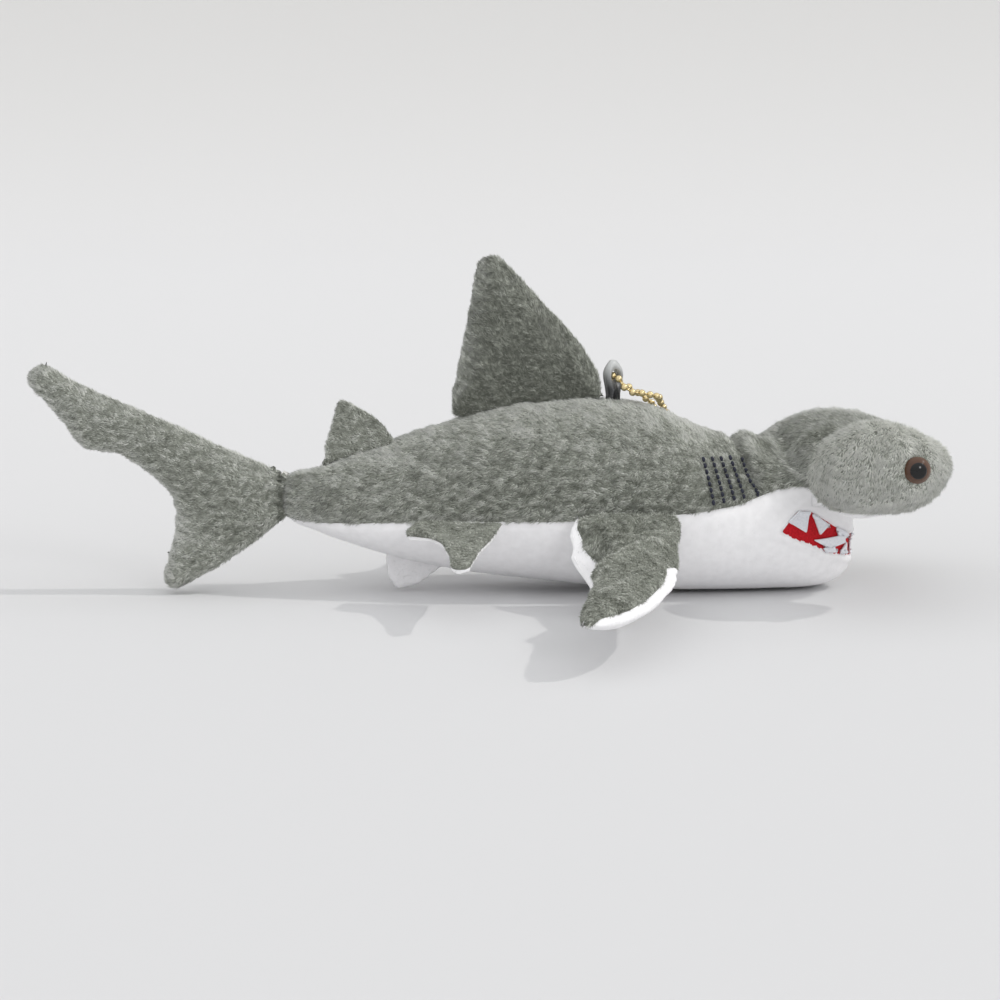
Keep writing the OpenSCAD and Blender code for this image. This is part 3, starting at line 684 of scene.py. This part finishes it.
def head_comb(root):
    """The hammer's pile flows out to its ends and down over them."""
    way = np.zeros_like(root)
    way[:, 0] = -0.5 + 0.3 * (root[:, 0] - hammer_x) / 15
    way[:, 1] = np.sign(root[:, 1]) * 0.6 * step((np.abs(root[:, 1]) - 10) / 25)
    way[:, 2] = -0.9 * step((np.abs(root[:, 1]) - 28) / 12) - 0.2
    return way


def back_comb(root):
    """The back's pile flows towards the tail and a little down."""
    way = np.zeros_like(root)
    way[:, 0] = -1
    way[:, 2] = -0.35
    return way


TAIL_SEAM_X = -52.3    # where the body meets the tail


def body_light_and_shade(root, n):
    """Painted light and shade on the back and head: the back is painted brightest where it faces up, the
    hammer's ends are painted paler than the brow where light falls on them, and shade is painted into the
    crease at the tail's seam.
    """
    face = step((np.abs(root[:, 1]) - 29) / 5)
    back = step((66 - root[:, 0]) / 6)
    tail_crease_shade = np.exp(-((root[:, 0] - TAIL_SEAM_X) / 1.1) ** 2)
    # painted light on upward faces and the hammer's ends, painted shade in the tail crease
    return 2.2 * back * n[:, 2] ** 2 - 0.1 + 3.1 * face - 3.5 * tail_crease_shade


def off_mouth(root):
    """No pile grows in the mouth."""
    return step(-in_mouth(root) / 0.8)


def build_body():
    """The panels, pile and stuffing of the body and head."""
    p, f = body_form()
    tall = above_seam(p)
    ahead = neck_line(p)
    upper = cut(p, f, tall)
    back = cut(*upper, -neck_line(upper[0]))
    for end, sign in SIDES:
        half = cut(*back, back[0][:, 1] * sign)
        panel(f"back_panel_{end}", *half, "torso", "grey_plush", grey_cloth, [f"back_skin_{end}"])
        pile(f"back_pile_{end}", *half, "torso", "grey_plush", grey_fibres, back_comb, 14, 1.4, 0.25,
             tone_and_light=body_light_and_shade)
    head = cut(*upper, neck_line(upper[0]))
    panel("head_top_panel", *head, "torso", "grey_plush", grey_cloth, ["head_top_skin"])
    for end, sign in SIDES:
        half = cut(*head, head[0][:, 1] * sign)
        pile(f"head_pile_{end}", *half, "torso", "grey_plush", grey_fibres, head_comb, 13, 1.7, 0.26,
             short=near_eyes, tone_and_light=body_light_and_shade)
    lower = cut(p, f, -tall)
    underside = cut(*lower, under_hammer(lower[0]))
    belly = cut(*lower, -under_hammer(lower[0]))
    panel("head_underside_panel", *underside, "torso", "white_plush", white_cloth, ["head_underside_skin"])
    panel("belly_panel", *belly, "torso", "white_plush", white_cloth, ["belly_skin"])
    for name, part in (("belly", belly), ("head_underside", underside)):
        pile(f"{name}_pile", *part, "torso", "white_plush", white_fibres, back_comb, 2, 0.4, 0.16, 70,
             short=off_mouth)
    core = kept_inside(p, f, p - normals_of(p, f) * FILL_DEPTH)
    for part, sign in (("torso", -1), ("head", 1)):
        half = cut(core, f, ahead * sign)
        node = f"{part}_stuffing"
        filling = piece(f"{part}_filling", *half, "torso", "polyester_fill", fill_cloth, [node])
    return p, f


def under_hammer(p):
    """Above zero on the hammer's white underside."""
    return np.minimum(p[:, 2] - 24.2, p[:, 0] - 88)


def near_eyes(root):
    """The pile is trimmed round the eyes."""
    height = root[:, 2] - eye_xz[1] + np.where(root[:, 1] > 0, eye_drop[1], eye_drop[-1])
    gap = np.hypot(root[:, 0] - eye_xz[0], height)
    trimmed = (gap < 6) & (np.abs(root[:, 1]) > brow_y)
    return np.where(trimmed, 0.25 + 0.75 * step((gap - 3.4) / 2.4), 1.0)


eye_low, eye_high = (np.array(v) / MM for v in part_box("eye_dome_left"))
eye_xz = ((eye_low + eye_high) / 2)[[0, 2]] + (1.3, 0)
eye_y = eye_low[1]
eye_r = (eye_high[0] - eye_low[0]) / 2
eye_h = eye_high[1] - eye_low[1]
eye_drop = {1: 2.4, -1: 0.0}    # by side: the left eye goes down with its end of the hammer

body_points, body_faces = build_body()


# ---- Surface lookups ----

surface = tree_of(body_points, body_faces)


def on_surface(point):
    """The nearest point of the plush body, and its outward direction."""
    place, way, _, _ = surface.find_nearest(Vector(point))
    return np.array(place), np.array(way)


# ---- Fins ----

def distances(tree, points):
    return np.array([tree.find_nearest(Vector(p))[3] for p in points.tolist()])


def side_field(first, second):
    """Above zero where a point is nearer to the first skin than to the second."""
    near, far = (tree_of(*node_form(node)) for node in (first, second))
    return lambda p: distances(far, p) - distances(near, p)


def sunk(p, reach):
    """The form's root carried on into the body, so that no gap shows at its hinge."""
    out = p.copy()
    for i, point in enumerate(p.tolist()):
        place, way, _, gap = surface.find_nearest(Vector(point))
        if (Vector(point) - place).dot(way) < 0:
            gap = 0
        out[i] -= np.array(way) * max(reach - gap, 0)
    return out


def core_of(p, faces, depth):
    """The form drawn in by depth, and rounded off where it is too thin for that."""
    core = p - normals_of(p, faces) * depth
    held = (depth_under(p, faces, core)[0] > depth * 0.9).astype(float)
    return kept_inside(p, faces, relaxed(core, edges_of(faces), 80, 0.9, held))


def fin(name, nodes, body, looks, comb, stuffing=None, voxel=1.0, cap=1.2, shrink=0.4, smooth=4, reach=6,
        wrap=None, crease=None, posed=None, tone_and_light=None):
    """A sewn fin: its CAD skins as one form, blown up between its seams and cut into its two sides.

    wrap moves the edge between the two sides, crease presses folds into the first, and posed bends the fin.
    """
    p, f = remeshed(*node_form(*nodes, *([stuffing] if stuffing else [])), voxel)
    across = side_field(*nodes)
    p = relaxed(p, edges_of(f), smooth)
    off = relaxed(across(p)[:, None], edges_of(f), 3)[:, 0]
    edge = np.exp(-(off / 0.8) ** 2)
    if stuffing:
        p -= normals_of(p, f) * shrink * (1 - edge)[:, None]
        p = inflated(p, f, np.clip(edge * 1.1, 0, 1), cap)
    p, f = subdivided(p, f)
    off = relaxed(across(p)[:, None], edges_of(f), 6)[:, 0]
    if wrap:
        off -= wrap(p)
    inward = 0.35 * np.exp(-(off / 0.5) ** 2)
    if crease:
        inward += crease(p) * (off > 0)
    p = p - normals_of(p, f) * (inward + 0.22 * waves(p, 13, 21))[:, None]
    if posed:
        p = posed(p)
    p = sunk(p, reach)
    p[:, 2] = np.maximum(p[:, 2], 0.0)
    for (end, sign, plush, long), node in zip(looks, nodes):
        finish, mat, fibres, density, width = plush
        half = cut(p, f, off * sign)
        panel(f"{name}_{end}", *half, body, finish, mat, [node], 0.7 if stuffing else 0.1)
        pile(f"{name}_{end}_pile", *half, body, finish, fibres, comb, density, long, width, 66, tone_and_light=tone_and_light)
    if stuffing:
        core = core_of(p, f, FILL_DEPTH * 0.8)
        filling = piece(f"{name}_filling", core, f, body, "polyester_fill", fill_cloth, [stuffing])


GREY = ("grey_plush", grey_cloth, grey_fibres, 14, 0.24)
WHITE = ("white_plush", white_cloth, white_fibres, 3, 0.2)


def both(plush, long):
    """The two sides of an upright fin, in the same plush."""
    return [(end, sign, plush, long) for end, sign in SIDES]


def faced(grey_long, white_long):
    """A fin that is grey above and white below."""
    return [("upper", 1, GREY, grey_long), ("lower", -1, WHITE, white_long)]


def towards(*way):
    """Pile that flows the same way all over."""
    def comb(root):
        return np.tile(np.array(way, float), (len(root), 1))
    return comb


def rim_lit_fin(middle, edge, seam=None):
    """Shades for an upright fin: its flats' tone, a painted rim light on its rounded edges, and painted
    shade in the crease at a seam's x.
    """
    def tone_and_light(root, n):
        # painted rim light, paler where the fin's side turns away
        shade = middle + edge * (1 - n[:, 1] ** 2)
        if seam is not None:
            # painted shade in the crease at the seam
            shade -= 3.5 * np.exp(-((root[:, 0] - seam) / 1.1) ** 2)
        return shade
    return tone_and_light


def level(middle):
    """Shades for a fin that lies flat: its tone, and painted light on its upper faces."""
    # painted light: faces turned up are lighter
    return lambda root, n: middle + 0.6 * n[:, 2]


def dorsal_posed(p):
    """The base drawn out a little, as the stuffing spreads it."""
    low, high = (np.array(v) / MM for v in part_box("dorsal_skin_left"))
    share = np.clip((p[:, 2] - low[2]) / (high[2] - low[2]), 0, 1)
    moved = p.copy()
    moved[:, 0] += (p[:, 0] - (low[0] + high[0]) / 2) * 0.11 * (1 - share) ** 2
    return moved


fin("tail", ["tail_skin_left", "tail_skin_right"], "tail", both(GREY, 1.2),
    towards(-1, 0, 0.1), "tail_stuffing", smooth=5, reach=7, tone_and_light=rim_lit_fin(0.3, 1.4, TAIL_SEAM_X))
fin("dorsal", ["dorsal_skin_left", "dorsal_skin_right"], "dorsal_fin", both(GREY, 1.2),
    towards(-0.8, 0, 0.6), "dorsal_stuffing", smooth=5, reach=7,
    posed=dorsal_posed, tone_and_light=rim_lit_fin(-3.1, 2.6))
fin("rear_dorsal", ["rear_dorsal_skin_left", "rear_dorsal_skin_right"], "rear_dorsal_fin", both(GREY, 1.0),
    towards(-1, 0, 0.4), voxel=0.6, smooth=3)
fin("anal_fin", ["anal_fin_skin_left", "anal_fin_skin_right"], "anal_fin", both(WHITE, 0.7),
    towards(-1, 0, -0.4), voxel=0.6, smooth=3)


PECTORAL_ROOT_Y = 24.9
PECTORAL_SLOPE = 0.973    # how far out the blade reaches for each millimetre of its span
# x of the blade's rear and leading edges, by its span.
PECTORAL_SPAN = [0, 5, 10, 16, 22, 27, 32, 38, 45, 52, 58, 66]
PECTORAL_REAR = [26, 23.8, 22.8, 22.6, 23.4, 25, 27.2, 27.8, 26.6, 24.6, 22.6, 21.2]
PECTORAL_FRONT = [51.4, 52.2, 52.4, 52.1, 51.5, 50.9, 50.2, 49.2, 47, 43.6, 39.8, 31.8]


def pectoral_place(p):
    """Span from the fin's root, and distance in from its rear and leading edges."""
    span = (np.abs(p[:, 1]) - PECTORAL_ROOT_Y) / PECTORAL_SLOPE
    behind = p[:, 0] - np.interp(span, PECTORAL_SPAN, PECTORAL_REAR)
    ahead = np.interp(span, PECTORAL_SPAN, PECTORAL_FRONT) - p[:, 0]
    return span, behind, ahead


def pectoral_wrap(p):
    """How far the white underside comes up round the blade's rim and the rear lobe, below zero for grey."""
    span, behind, ahead = pectoral_place(p)
    band = 2.0 + 3.4 * step(span / 16)
    lobe = step((band - behind) / 1.2) * step((33 - span) / 3) * step((span - 1) / 3)
    notch = step((4 - behind) / 2) * step((span - 31) / 3) * step((57 - span) / 5)
    rim = step((8 - ahead) / 4)
    return 9 * lobe - 2.2 * notch + rim * (3.6 * step((span - 27) / 7) - 1.7)


def groove(p, start, end, width):
    """1 along a line between two places, given as x and distance out, and 1 on the lip beside it."""
    way = (end - start) / np.linalg.norm(end - start)
    spot = np.stack([p[:, 0], np.abs(p[:, 1])], 1) - start
    along, aside = spot @ way, spot @ np.array((-way[1], way[0]))
    there = step(along / 2 + 1) * step((np.linalg.norm(end - start) - along) / 5)
    return there * np.exp(-(aside / width) ** 2), there * np.exp(-((aside - 4.5) / 2.6) ** 2)


def pectoral_folds(p):
    """The fold from the notch up towards the shoulder, its raised lip, and the dent over it, each 0 to 1."""
    fold, lip = groove(p, np.array((27.5, 56.0)), np.array((46.0, 38.5)), 1.9)
    dent = np.exp(-(((p[:, 0] - 39.5) / 5) ** 2 + ((np.abs(p[:, 1]) - 33.5) / 4) ** 2))
    return fold, lip, dent


def pectoral_crease(p):
    fold, lip, dent = pectoral_folds(p)
    return 2.6 * fold - 1.9 * lip + 2.0 * dent


def pectoral_light_and_shade(root, n):
    """Painted shade in the folds and the dent, and painted light on their lips and on the upper faces."""
    fold, lip, dent = pectoral_folds(root + (2.4, 0, 0))
    # painted light on upper faces and lips, painted shade in the fold and dent
    return 0.6 * n[:, 2] - 0.7 - 3.0 * fold + 1.2 * lip - 1.6 * dent


def pectoral_posed(p):
    """The blade swept back, the lobe behind it tucked under, and the root drawn up over the seam."""
    span, _, _ = pectoral_place(p)
    moved = p.copy()
    lobe = step((36 - p[:, 0]) / 10)
    tucked = lobe * step((span - 8) / 8) * step((34 - span) / 9)
    moved[:, 0] += 6 * tucked - 1.8 * lobe * step((8 - span) / 4) - 2.4 * step((span - 2) / 14)
    moved[:, 2] += 2.6 * step((9 - span) / 7) - 4.8 * tucked
    return moved


for name, sign in SIDES:
    fin(f"pectoral_{name}", [f"pectoral_upper_skin_{name}", f"pectoral_lower_skin_{name}"],
        f"pectoral_fin_{name}", faced(1.2, 0.5), towards(-0.5, sign, -0.2), f"pectoral_stuffing_{name}",
        reach=3, wrap=pectoral_wrap, crease=pectoral_crease, posed=pectoral_posed, tone_and_light=pectoral_light_and_shade)
    fin(f"pelvic_{name}", [f"pelvic_upper_skin_{name}", f"pelvic_lower_skin_{name}"],
        f"pelvic_fin_{name}", faced(0.9, 0.4), towards(-0.6, sign, -0.2), voxel=0.6, smooth=3, reach=3,
        tone_and_light=level(-1.2))


# ---- Small solids ----

def ring_faces(rows, sides):
    """The faces of a closed solid made of rings of points: quads between the rings, and the two ends."""
    last = (rows - 1) * sides
    faces = [
        (a + k, a + (k + 1) % sides, a + sides + (k + 1) % sides, a + sides + k)
        for a in range(0, last, sides) for k in range(sides)
    ]
    return faces + [tuple(range(sides - 1, -1, -1)), tuple(range(last, last + sides))]


def tube(line, r, sides=8):
    """A closed round tube along a line of points."""
    line = np.asarray(line, float)
    ahead = unit(np.gradient(line, axis=0))
    guide = unit(np.cross(ahead, [0.21, 0.35, 0.91]))
    third = np.cross(ahead, guide)
    turn = 2 * math.pi * np.arange(sides) / sides
    radius = np.broadcast_to(np.asarray(r, float), (len(line),))
    ring = guide[:, None] * np.cos(turn)[None, :, None] + third[:, None] * np.sin(turn)[None, :, None]
    points = (line[:, None] + ring * radius[:, None, None]).reshape(-1, 3)
    return points, ring_faces(len(line), sides)


def ball(centre, r, rings=10, around=16):
    lat = np.pi * np.arange(1, rings) / rings
    lon = 2 * np.pi * np.arange(around) / around
    grid = np.stack([
        np.sin(lat)[:, None] * np.cos(lon), np.sin(lat)[:, None] * np.sin(lon),
        np.repeat(np.cos(lat)[:, None], around, 1),
    ], 2).reshape(-1, 3)
    points = np.concatenate([grid, [[0, 0, 1], [0, 0, -1]]]) * r + np.asarray(centre)
    faces = []
    for i in range(rings - 2):
        for k in range(around):
            a, b = i * around + k, i * around + (k + 1) % around
            faces.append((a, a + around, b + around, b))
    top, foot, low = len(grid), len(grid) + 1, (rings - 2) * around
    for k in range(around):
        faces.append((top, k, (k + 1) % around))
        faces.append((foot, low + (k + 1) % around, low + k))
    return points, faces


def together(parts):
    points, faces, base = [], [], 0
    for p, f in parts:
        points.append(p)
        faces += [tuple(v + base for v in face) for face in f]
        base += len(p)
    return np.concatenate(points), faces


def islands(node):
    """The points of each separate solid of a CAD node."""
    p, t = node_form(node)
    _, first, same = np.unique(np.round(p, 3), axis=0, return_index=True, return_inverse=True)
    label = first[same.ravel()]
    label = joined(label, np.concatenate([label[t[:, [0, 1]]], label[t[:, [1, 2]]], label[t[:, [2, 0]]]]))
    return [p[label == k] for k in np.unique(label) if (label == k).sum() > 3]


# ---- Eyes ----

def lathe(profile, sign, sides=40):
    """A solid turned about the eye's axis from pairs of radius and height above its back."""
    turn = 2 * math.pi * np.arange(sides) / sides
    points = [
        (eye_xz[0] + r * math.cos(a), sign * (eye_y + h), eye_xz[1] - eye_drop[sign] + r * math.sin(a))
        for r, h in profile for a in turn
    ]
    return np.array(points), [f[::-sign] for f in ring_faces(len(profile), sides)]


def cap(shares, raised=0.0):
    """The eye's domed face, as radius and height, at shares of its radius."""
    big = (eye_r ** 2 + eye_h ** 2) / (2 * eye_h)
    radii = [eye_r * share for share in shares]
    return [(r, math.sqrt(max(big ** 2 - r ** 2, 0)) - (big - eye_h) + raised) for r in radii]


recess = cap([0.56])[0][1]
IRIS = [(eye_r, -0.6), (eye_r, 0.05), *cap([0.985, 0.95, 0.9, 0.84, 0.78, 0.72, 0.66, 0.6]),
        (eye_r * 0.54, recess), (0.02, recess)]
PUPIL = [(eye_r * 0.62, 0.2), *cap([0.62, 0.55, 0.46, 0.35, 0.24, 0.12, 0.01], 0.03)]
WASHER = [(4.0, -6.4), (4.0, -6.0), (3.4, -5.5), (2.6, -5.4)]

for name, sign in SIDES:
    for part, profile, finish, mat, node in (
        ("iris", IRIS, "eye_brown", iris_plastic, "dome"),
        ("pupil_shine", PUPIL, "eye_black", pupil_plastic, "pupil"),
        ("washer_disc", WASHER, "washer_plastic", washer_plastic, "washer"),
    ):
        piece(f"eye_{part}_{name}", *lathe(profile, sign), "torso", finish, mat, [f"eye_{node}_{name}"])


# ---- Gill stitches ----

def spine(part):
    """The middle, direction and half length of a slender solid."""
    middle = part.mean(0)
    ahead = np.linalg.svd(part - middle)[2][0]
    return middle, ahead, np.abs((part - middle) @ ahead).max()


for name, _ in SIDES:
    stitches = []
    for part in islands(f"gill_stitches_{name}"):
        middle, ahead, reach = spine(part)
        # The front row leans back at its top, where the neck's dip is.
        if middle[0] + 0.4 * (middle[2] - 26) > 71.2:
            middle[0] += 0.5 - 2.4 * min(max((middle[2] - 26) / 10, 0), 1)
        line = []
        for t in np.linspace(-1, 1, 7):
            place, way = on_surface(middle + ahead * reach * t)
            line.append(place + way * (0.75 + 0.35 * (1 - t * t)))
        stitches.append(tube(line, 0.44 * np.array([0.6, 0.9, 1, 1, 1, 0.9, 0.6])))
    piece(f"gill_threads_{name}", *together(stitches), "torso", "gill_thread", thread,
          [f"gill_stitches_{name}"])


# ---- Mouth ----

def felt(name, fields, lift, thickness, mat, finish, node):
    """Felt cut to shapes and laid on the jaw. Each field is above zero inside a shape."""
    parts = []
    for field in fields:
        p, f = cut(*jaw, field(jaw[0]))
        for sign in (1, -1):
            half = cut(p, f, p[:, 1] * sign)
            if len(half[1]) > 2:
                n = normals_of(*half)
                parts.append(shell(half[0] + n * lift, half[1], thickness))
    piece(name, *together(parts), "torso", finish, mat, [node])


def jaw_surface():
    """The plush of the jaw, finer than the rest, for the felt to be cut from."""
    near = (body_points[:, 0] > 78) & (body_points[:, 2] < 26)
    faces = [f for f in body_faces if near[list(f)].all()]
    used = np.unique(np.concatenate([np.array(f) for f in faces]))
    renumbered = {int(v): i for i, v in enumerate(used)}
    return subdivided(body_points[used], [tuple(renumbered[v] for v in f) for f in faces])


jaw = jaw_surface()
felt("mouth_felt", [in_mouth], 0.25, 0.5, red_felt, "red_felt", "mouth_lining")
felt("upper_teeth_felt", [lambda p, c=c: in_tooth(p, c) for c in UPPER_TEETH], 0.9, 0.55,
     white_felt, "white_felt", "upper_teeth")
felt("lower_teeth_felt", [lambda p, c=c: in_tooth(p, c) for c in LOWER_TEETH], 1.0, 0.5,
     white_felt, "white_felt", "lower_teeth")


# ---- Chain and ribbon ----

for length in ("upper", "middle", "lower"):
    balls = []
    for part in islands(f"chain_beads_{length}"):
        low, high = part.min(0), part.max(0)
        balls.append(ball((low + high) / 2, (high - low).max() / 2, 12, 20))
    piece(f"chain_balls_{length}", *together(balls), f"chain_{length}", "brass_chain", brass,
          [f"chain_beads_{length}"])
    wires = []
    for part in islands(f"chain_links_{length}"):
        middle, ahead, half = spine(part)
        reach = half + 0.2
        wires.append(tube([middle - ahead * reach, middle, middle + ahead * reach], 0.3, 10))
    piece(f"chain_wires_{length}", *together(wires), f"chain_{length}", "brass_chain", brass,
          [f"chain_links_{length}"])


def ribbon():
    """A doubled satin ribbon round the chain's first bead, with its foot sewn into the back."""
    (x0, y0, _), (x1, y1, top) = (np.array(v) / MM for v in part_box("ribbon_loop"))
    middle = np.array(((x0 + x1) / 2, (y0 + y1) / 2, top - 2.25))
    # The teardrop's half width at heights above the middle of its hole.
    heights = [4.3, 4.05, 3.3, 2.0, 0.4, -1.2, -2.8, -4.8, -6.8]
    widths = [0.0, 0.75, 1.4, 2.0, 2.3, 2.1, 1.7, 1.35, 1.3]
    steps, half_width = 24, 1.5
    share = np.linspace(0, len(heights) - 1, steps)
    right = np.stack([np.interp(share, range(len(row)), row) for row in (widths, heights)], 1)
    outer = np.concatenate([right, (right * (-1, 1))[-1:0:-1]])
    turn = np.radians(90 - 180 * np.arange(steps) / (steps - 1))
    hole = np.stack([1.65 * np.cos(turn), 1.8 * np.sin(turn)], 1)
    inner = np.concatenate([hole, (hole * (-1, 1))[-1:0:-1]])
    axis = np.array((math.cos(math.radians(-60)), math.sin(math.radians(-60)), 0))
    aside = np.array((-axis[1], axis[0], 0))
    up = np.array((0, 0, 1.0))
    rings = []
    for ring, sign in ((outer, 1), (outer, -1), (inner, -1), (inner, 1)):
        narrow = 0.45 + 0.55 * step((heights[0] - ring[:, 1:]) / 3.5)
        rings.append(middle + ring[:, :1] * aside + ring[:, 1:] * up + axis * sign * half_width * narrow)
    count = len(outer)
    faces = []
    for k in range(4):
        for i in range(count):
            j = (i + 1) % count
            a, b = k * count, (k + 1) % 4 * count
            faces.append((a + i, b + i, b + j, a + j))
    piece("ribbon", np.concatenate(rings), faces, "loop", "satin_ribbon", satin(), ["ribbon_loop"])


def satin():
    """Satin with a painted highlight at the top, where it bends over, and painted shade towards its foot."""
    mat, shader, tree = material("satin ribbon", (110, 112, 112), 0.32)
    coords = added(tree, "TexCoord")
    split = added(tree, "SeparateXYZ")
    noise = added(tree, "TexNoise", Scale=2200)
    rise = added(tree, "MapRange", From_Min=0.0545, From_Max=0.0615)    # metres: its foot and its top
    blend = added(tree, "Math")
    blend.operation = "MULTIPLY_ADD"
    blend.inputs[1].default_value = 0.3
    # painted shade at the foot up to a painted highlight at the top, by height
    ramp = colour_ramp(tree, (0.1, (36, 36, 40)), (1, (196, 198, 197)))
    wire(tree, (coords, "Object", split, "Vector"), (coords, "Object", noise, "Vector"),
         (split, "Z", rise, "Value"), (noise, "Fac", blend, 0), (rise, "Result", blend, 2),
         (blend, "Value", ramp, "Fac"), (ramp, "Color", shader, "Base Color"))
    return mat


ribbon()
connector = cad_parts["chain_connector"].data
connector.materials.clear()
connector.materials.append(brass)


# ---- Floor, light and camera ----

def floor():
    """A seamless sheet: level under the shark, falling a little towards the viewer, and up at the back."""
    level_from, level_to = -24, 130
    wall_from, wall_bend = 620, 260
    ys = [*np.linspace(-2500, -60, 30), *np.linspace(-50, 20, 36), *np.linspace(30, 1400, 90)]
    slope = math.tan(math.radians(8))
    heights = []
    for y in ys:
        near = -slope * 12 * np.logaddexp(0, -(y - level_from) / 12)
        far = slope * np.logaddexp(0, (y - level_to) / 20) * 20
        into = min(max(y - wall_from, 0), wall_bend)
        heights.append(near + far + wall_bend - math.sqrt(wall_bend ** 2 - into ** 2))
    for _ in range(39):
        ys.append(ys[-1])
        heights.append(heights[-1] + 60)
    rows = [(x, y, z) for y, z in zip(ys, heights) for x in (-3000.0, 3000.0)]
    faces = [(2 * i, 2 * i + 1, 2 * i + 3, 2 * i + 2) for i in range(len(ys) - 1)]
    obj = linked("floor_sheet", plain_mesh("floor_sheet", np.array(rows) * MM, faces))
    obj.data.materials.append(paper())
    obj.data.polygons.foreach_set("use_smooth", np.ones(len(obj.data.polygons), bool))


def paper():
    """Pale paper with painted shade: a little darker near the viewer and on the wall."""
    mat, shader, tree = material("paper", (220, 220, 221), 0.9)
    coords = added(tree, "TexCoord")
    split = added(tree, "SeparateXYZ")
    spread = added(tree, "MapRange", From_Min=-0.4, From_Max=1.0)
    # painted shade near the viewer and on the wall, around the pale middle
    near, pale, wall = (212, 212, 213), (224, 224, 225), (212, 211, 209)
    ramp = colour_ramp(tree, (0, near), (0.68, pale), (0.95, wall), (1, wall))
    ramp.color_ramp.interpolation = "EASE"
    wire(tree, (coords, "Object", split, "Vector"), (split, "Y", spread, "Value"),
         (spread, "Result", ramp, "Fac"), (ramp, "Color", shader, "Base Color"))
    return mat


def placed(name, data, ahead, distance=0.0):
    """A light that shines back along ahead, from that far along it in front of the head."""
    obj = bpy.data.objects.new(name, data)
    obj.location = Vector((0.1, -0.04, 0.036)) + ahead * distance
    obj.rotation_mode = "QUATERNION"
    obj.rotation_quaternion = ahead.to_track_quat("Z", "Y")
    bpy.context.scene.collection.objects.link(obj)


def lights():
    """A crisp light high on the right, and a softbox near the viewer."""
    sun = bpy.data.lights.new("key", "SUN")
    sun.energy = 0.72
    sun.angle = math.radians(1.6)
    sun.color = (1.0, 0.985, 0.95)
    placed("key", sun, Vector((0.9, -0.12, 1.0)))
    box = bpy.data.lights.new("softbox", "AREA")
    box.shape = "SQUARE"
    box.size = 0.44
    box.energy = 4.2
    placed("softbox", box, Vector((0.34, -0.86, 0.38)).normalized(), 2.0)


def room():
    """An even pale room, brighter overhead."""
    world = bpy.data.worlds.new("room")
    bpy.context.scene.world = world
    world.use_nodes = True
    tree = world.node_tree
    sky = tree.nodes["Background"]
    sky.inputs["Color"].default_value = (0.985, 0.99, 1.0, 1)
    coords = added(tree, "TexCoord")
    split = added(tree, "SeparateXYZ")
    spread = added(tree, "MapRange", To_Min=0.74, To_Max=1.1)
    wire(tree, (coords, "Generated", split, "Vector"), (split, "Z", spread, "Value"),
         (spread, "Result", sky, "Strength"))


def camera():
    """A long lens, a little above the floor and a little ahead of the shark's side."""
    data = bpy.data.cameras.new("camera")
    data.lens = 106.67
    data.sensor_width = 36
    data.clip_end = 50
    cam = bpy.data.objects.new("camera", data)
    turn, rise, distance = math.radians(-4), math.radians(7), 0.8
    back = Vector((math.sin(turn) * math.cos(rise), -math.cos(turn) * math.cos(rise), math.sin(rise)))
    cam.location = Vector((0.0064, 0, 0.0243)) + back * distance
    cam.rotation_mode = "QUATERNION"
    cam.rotation_quaternion = back.to_track_quat("Z", "Y")
    bpy.context.scene.collection.objects.link(cam)
    bpy.context.scene.camera = cam


floor()
room()
lights()
camera()
bpy.context.scene.view_settings.view_transform = "Standard"
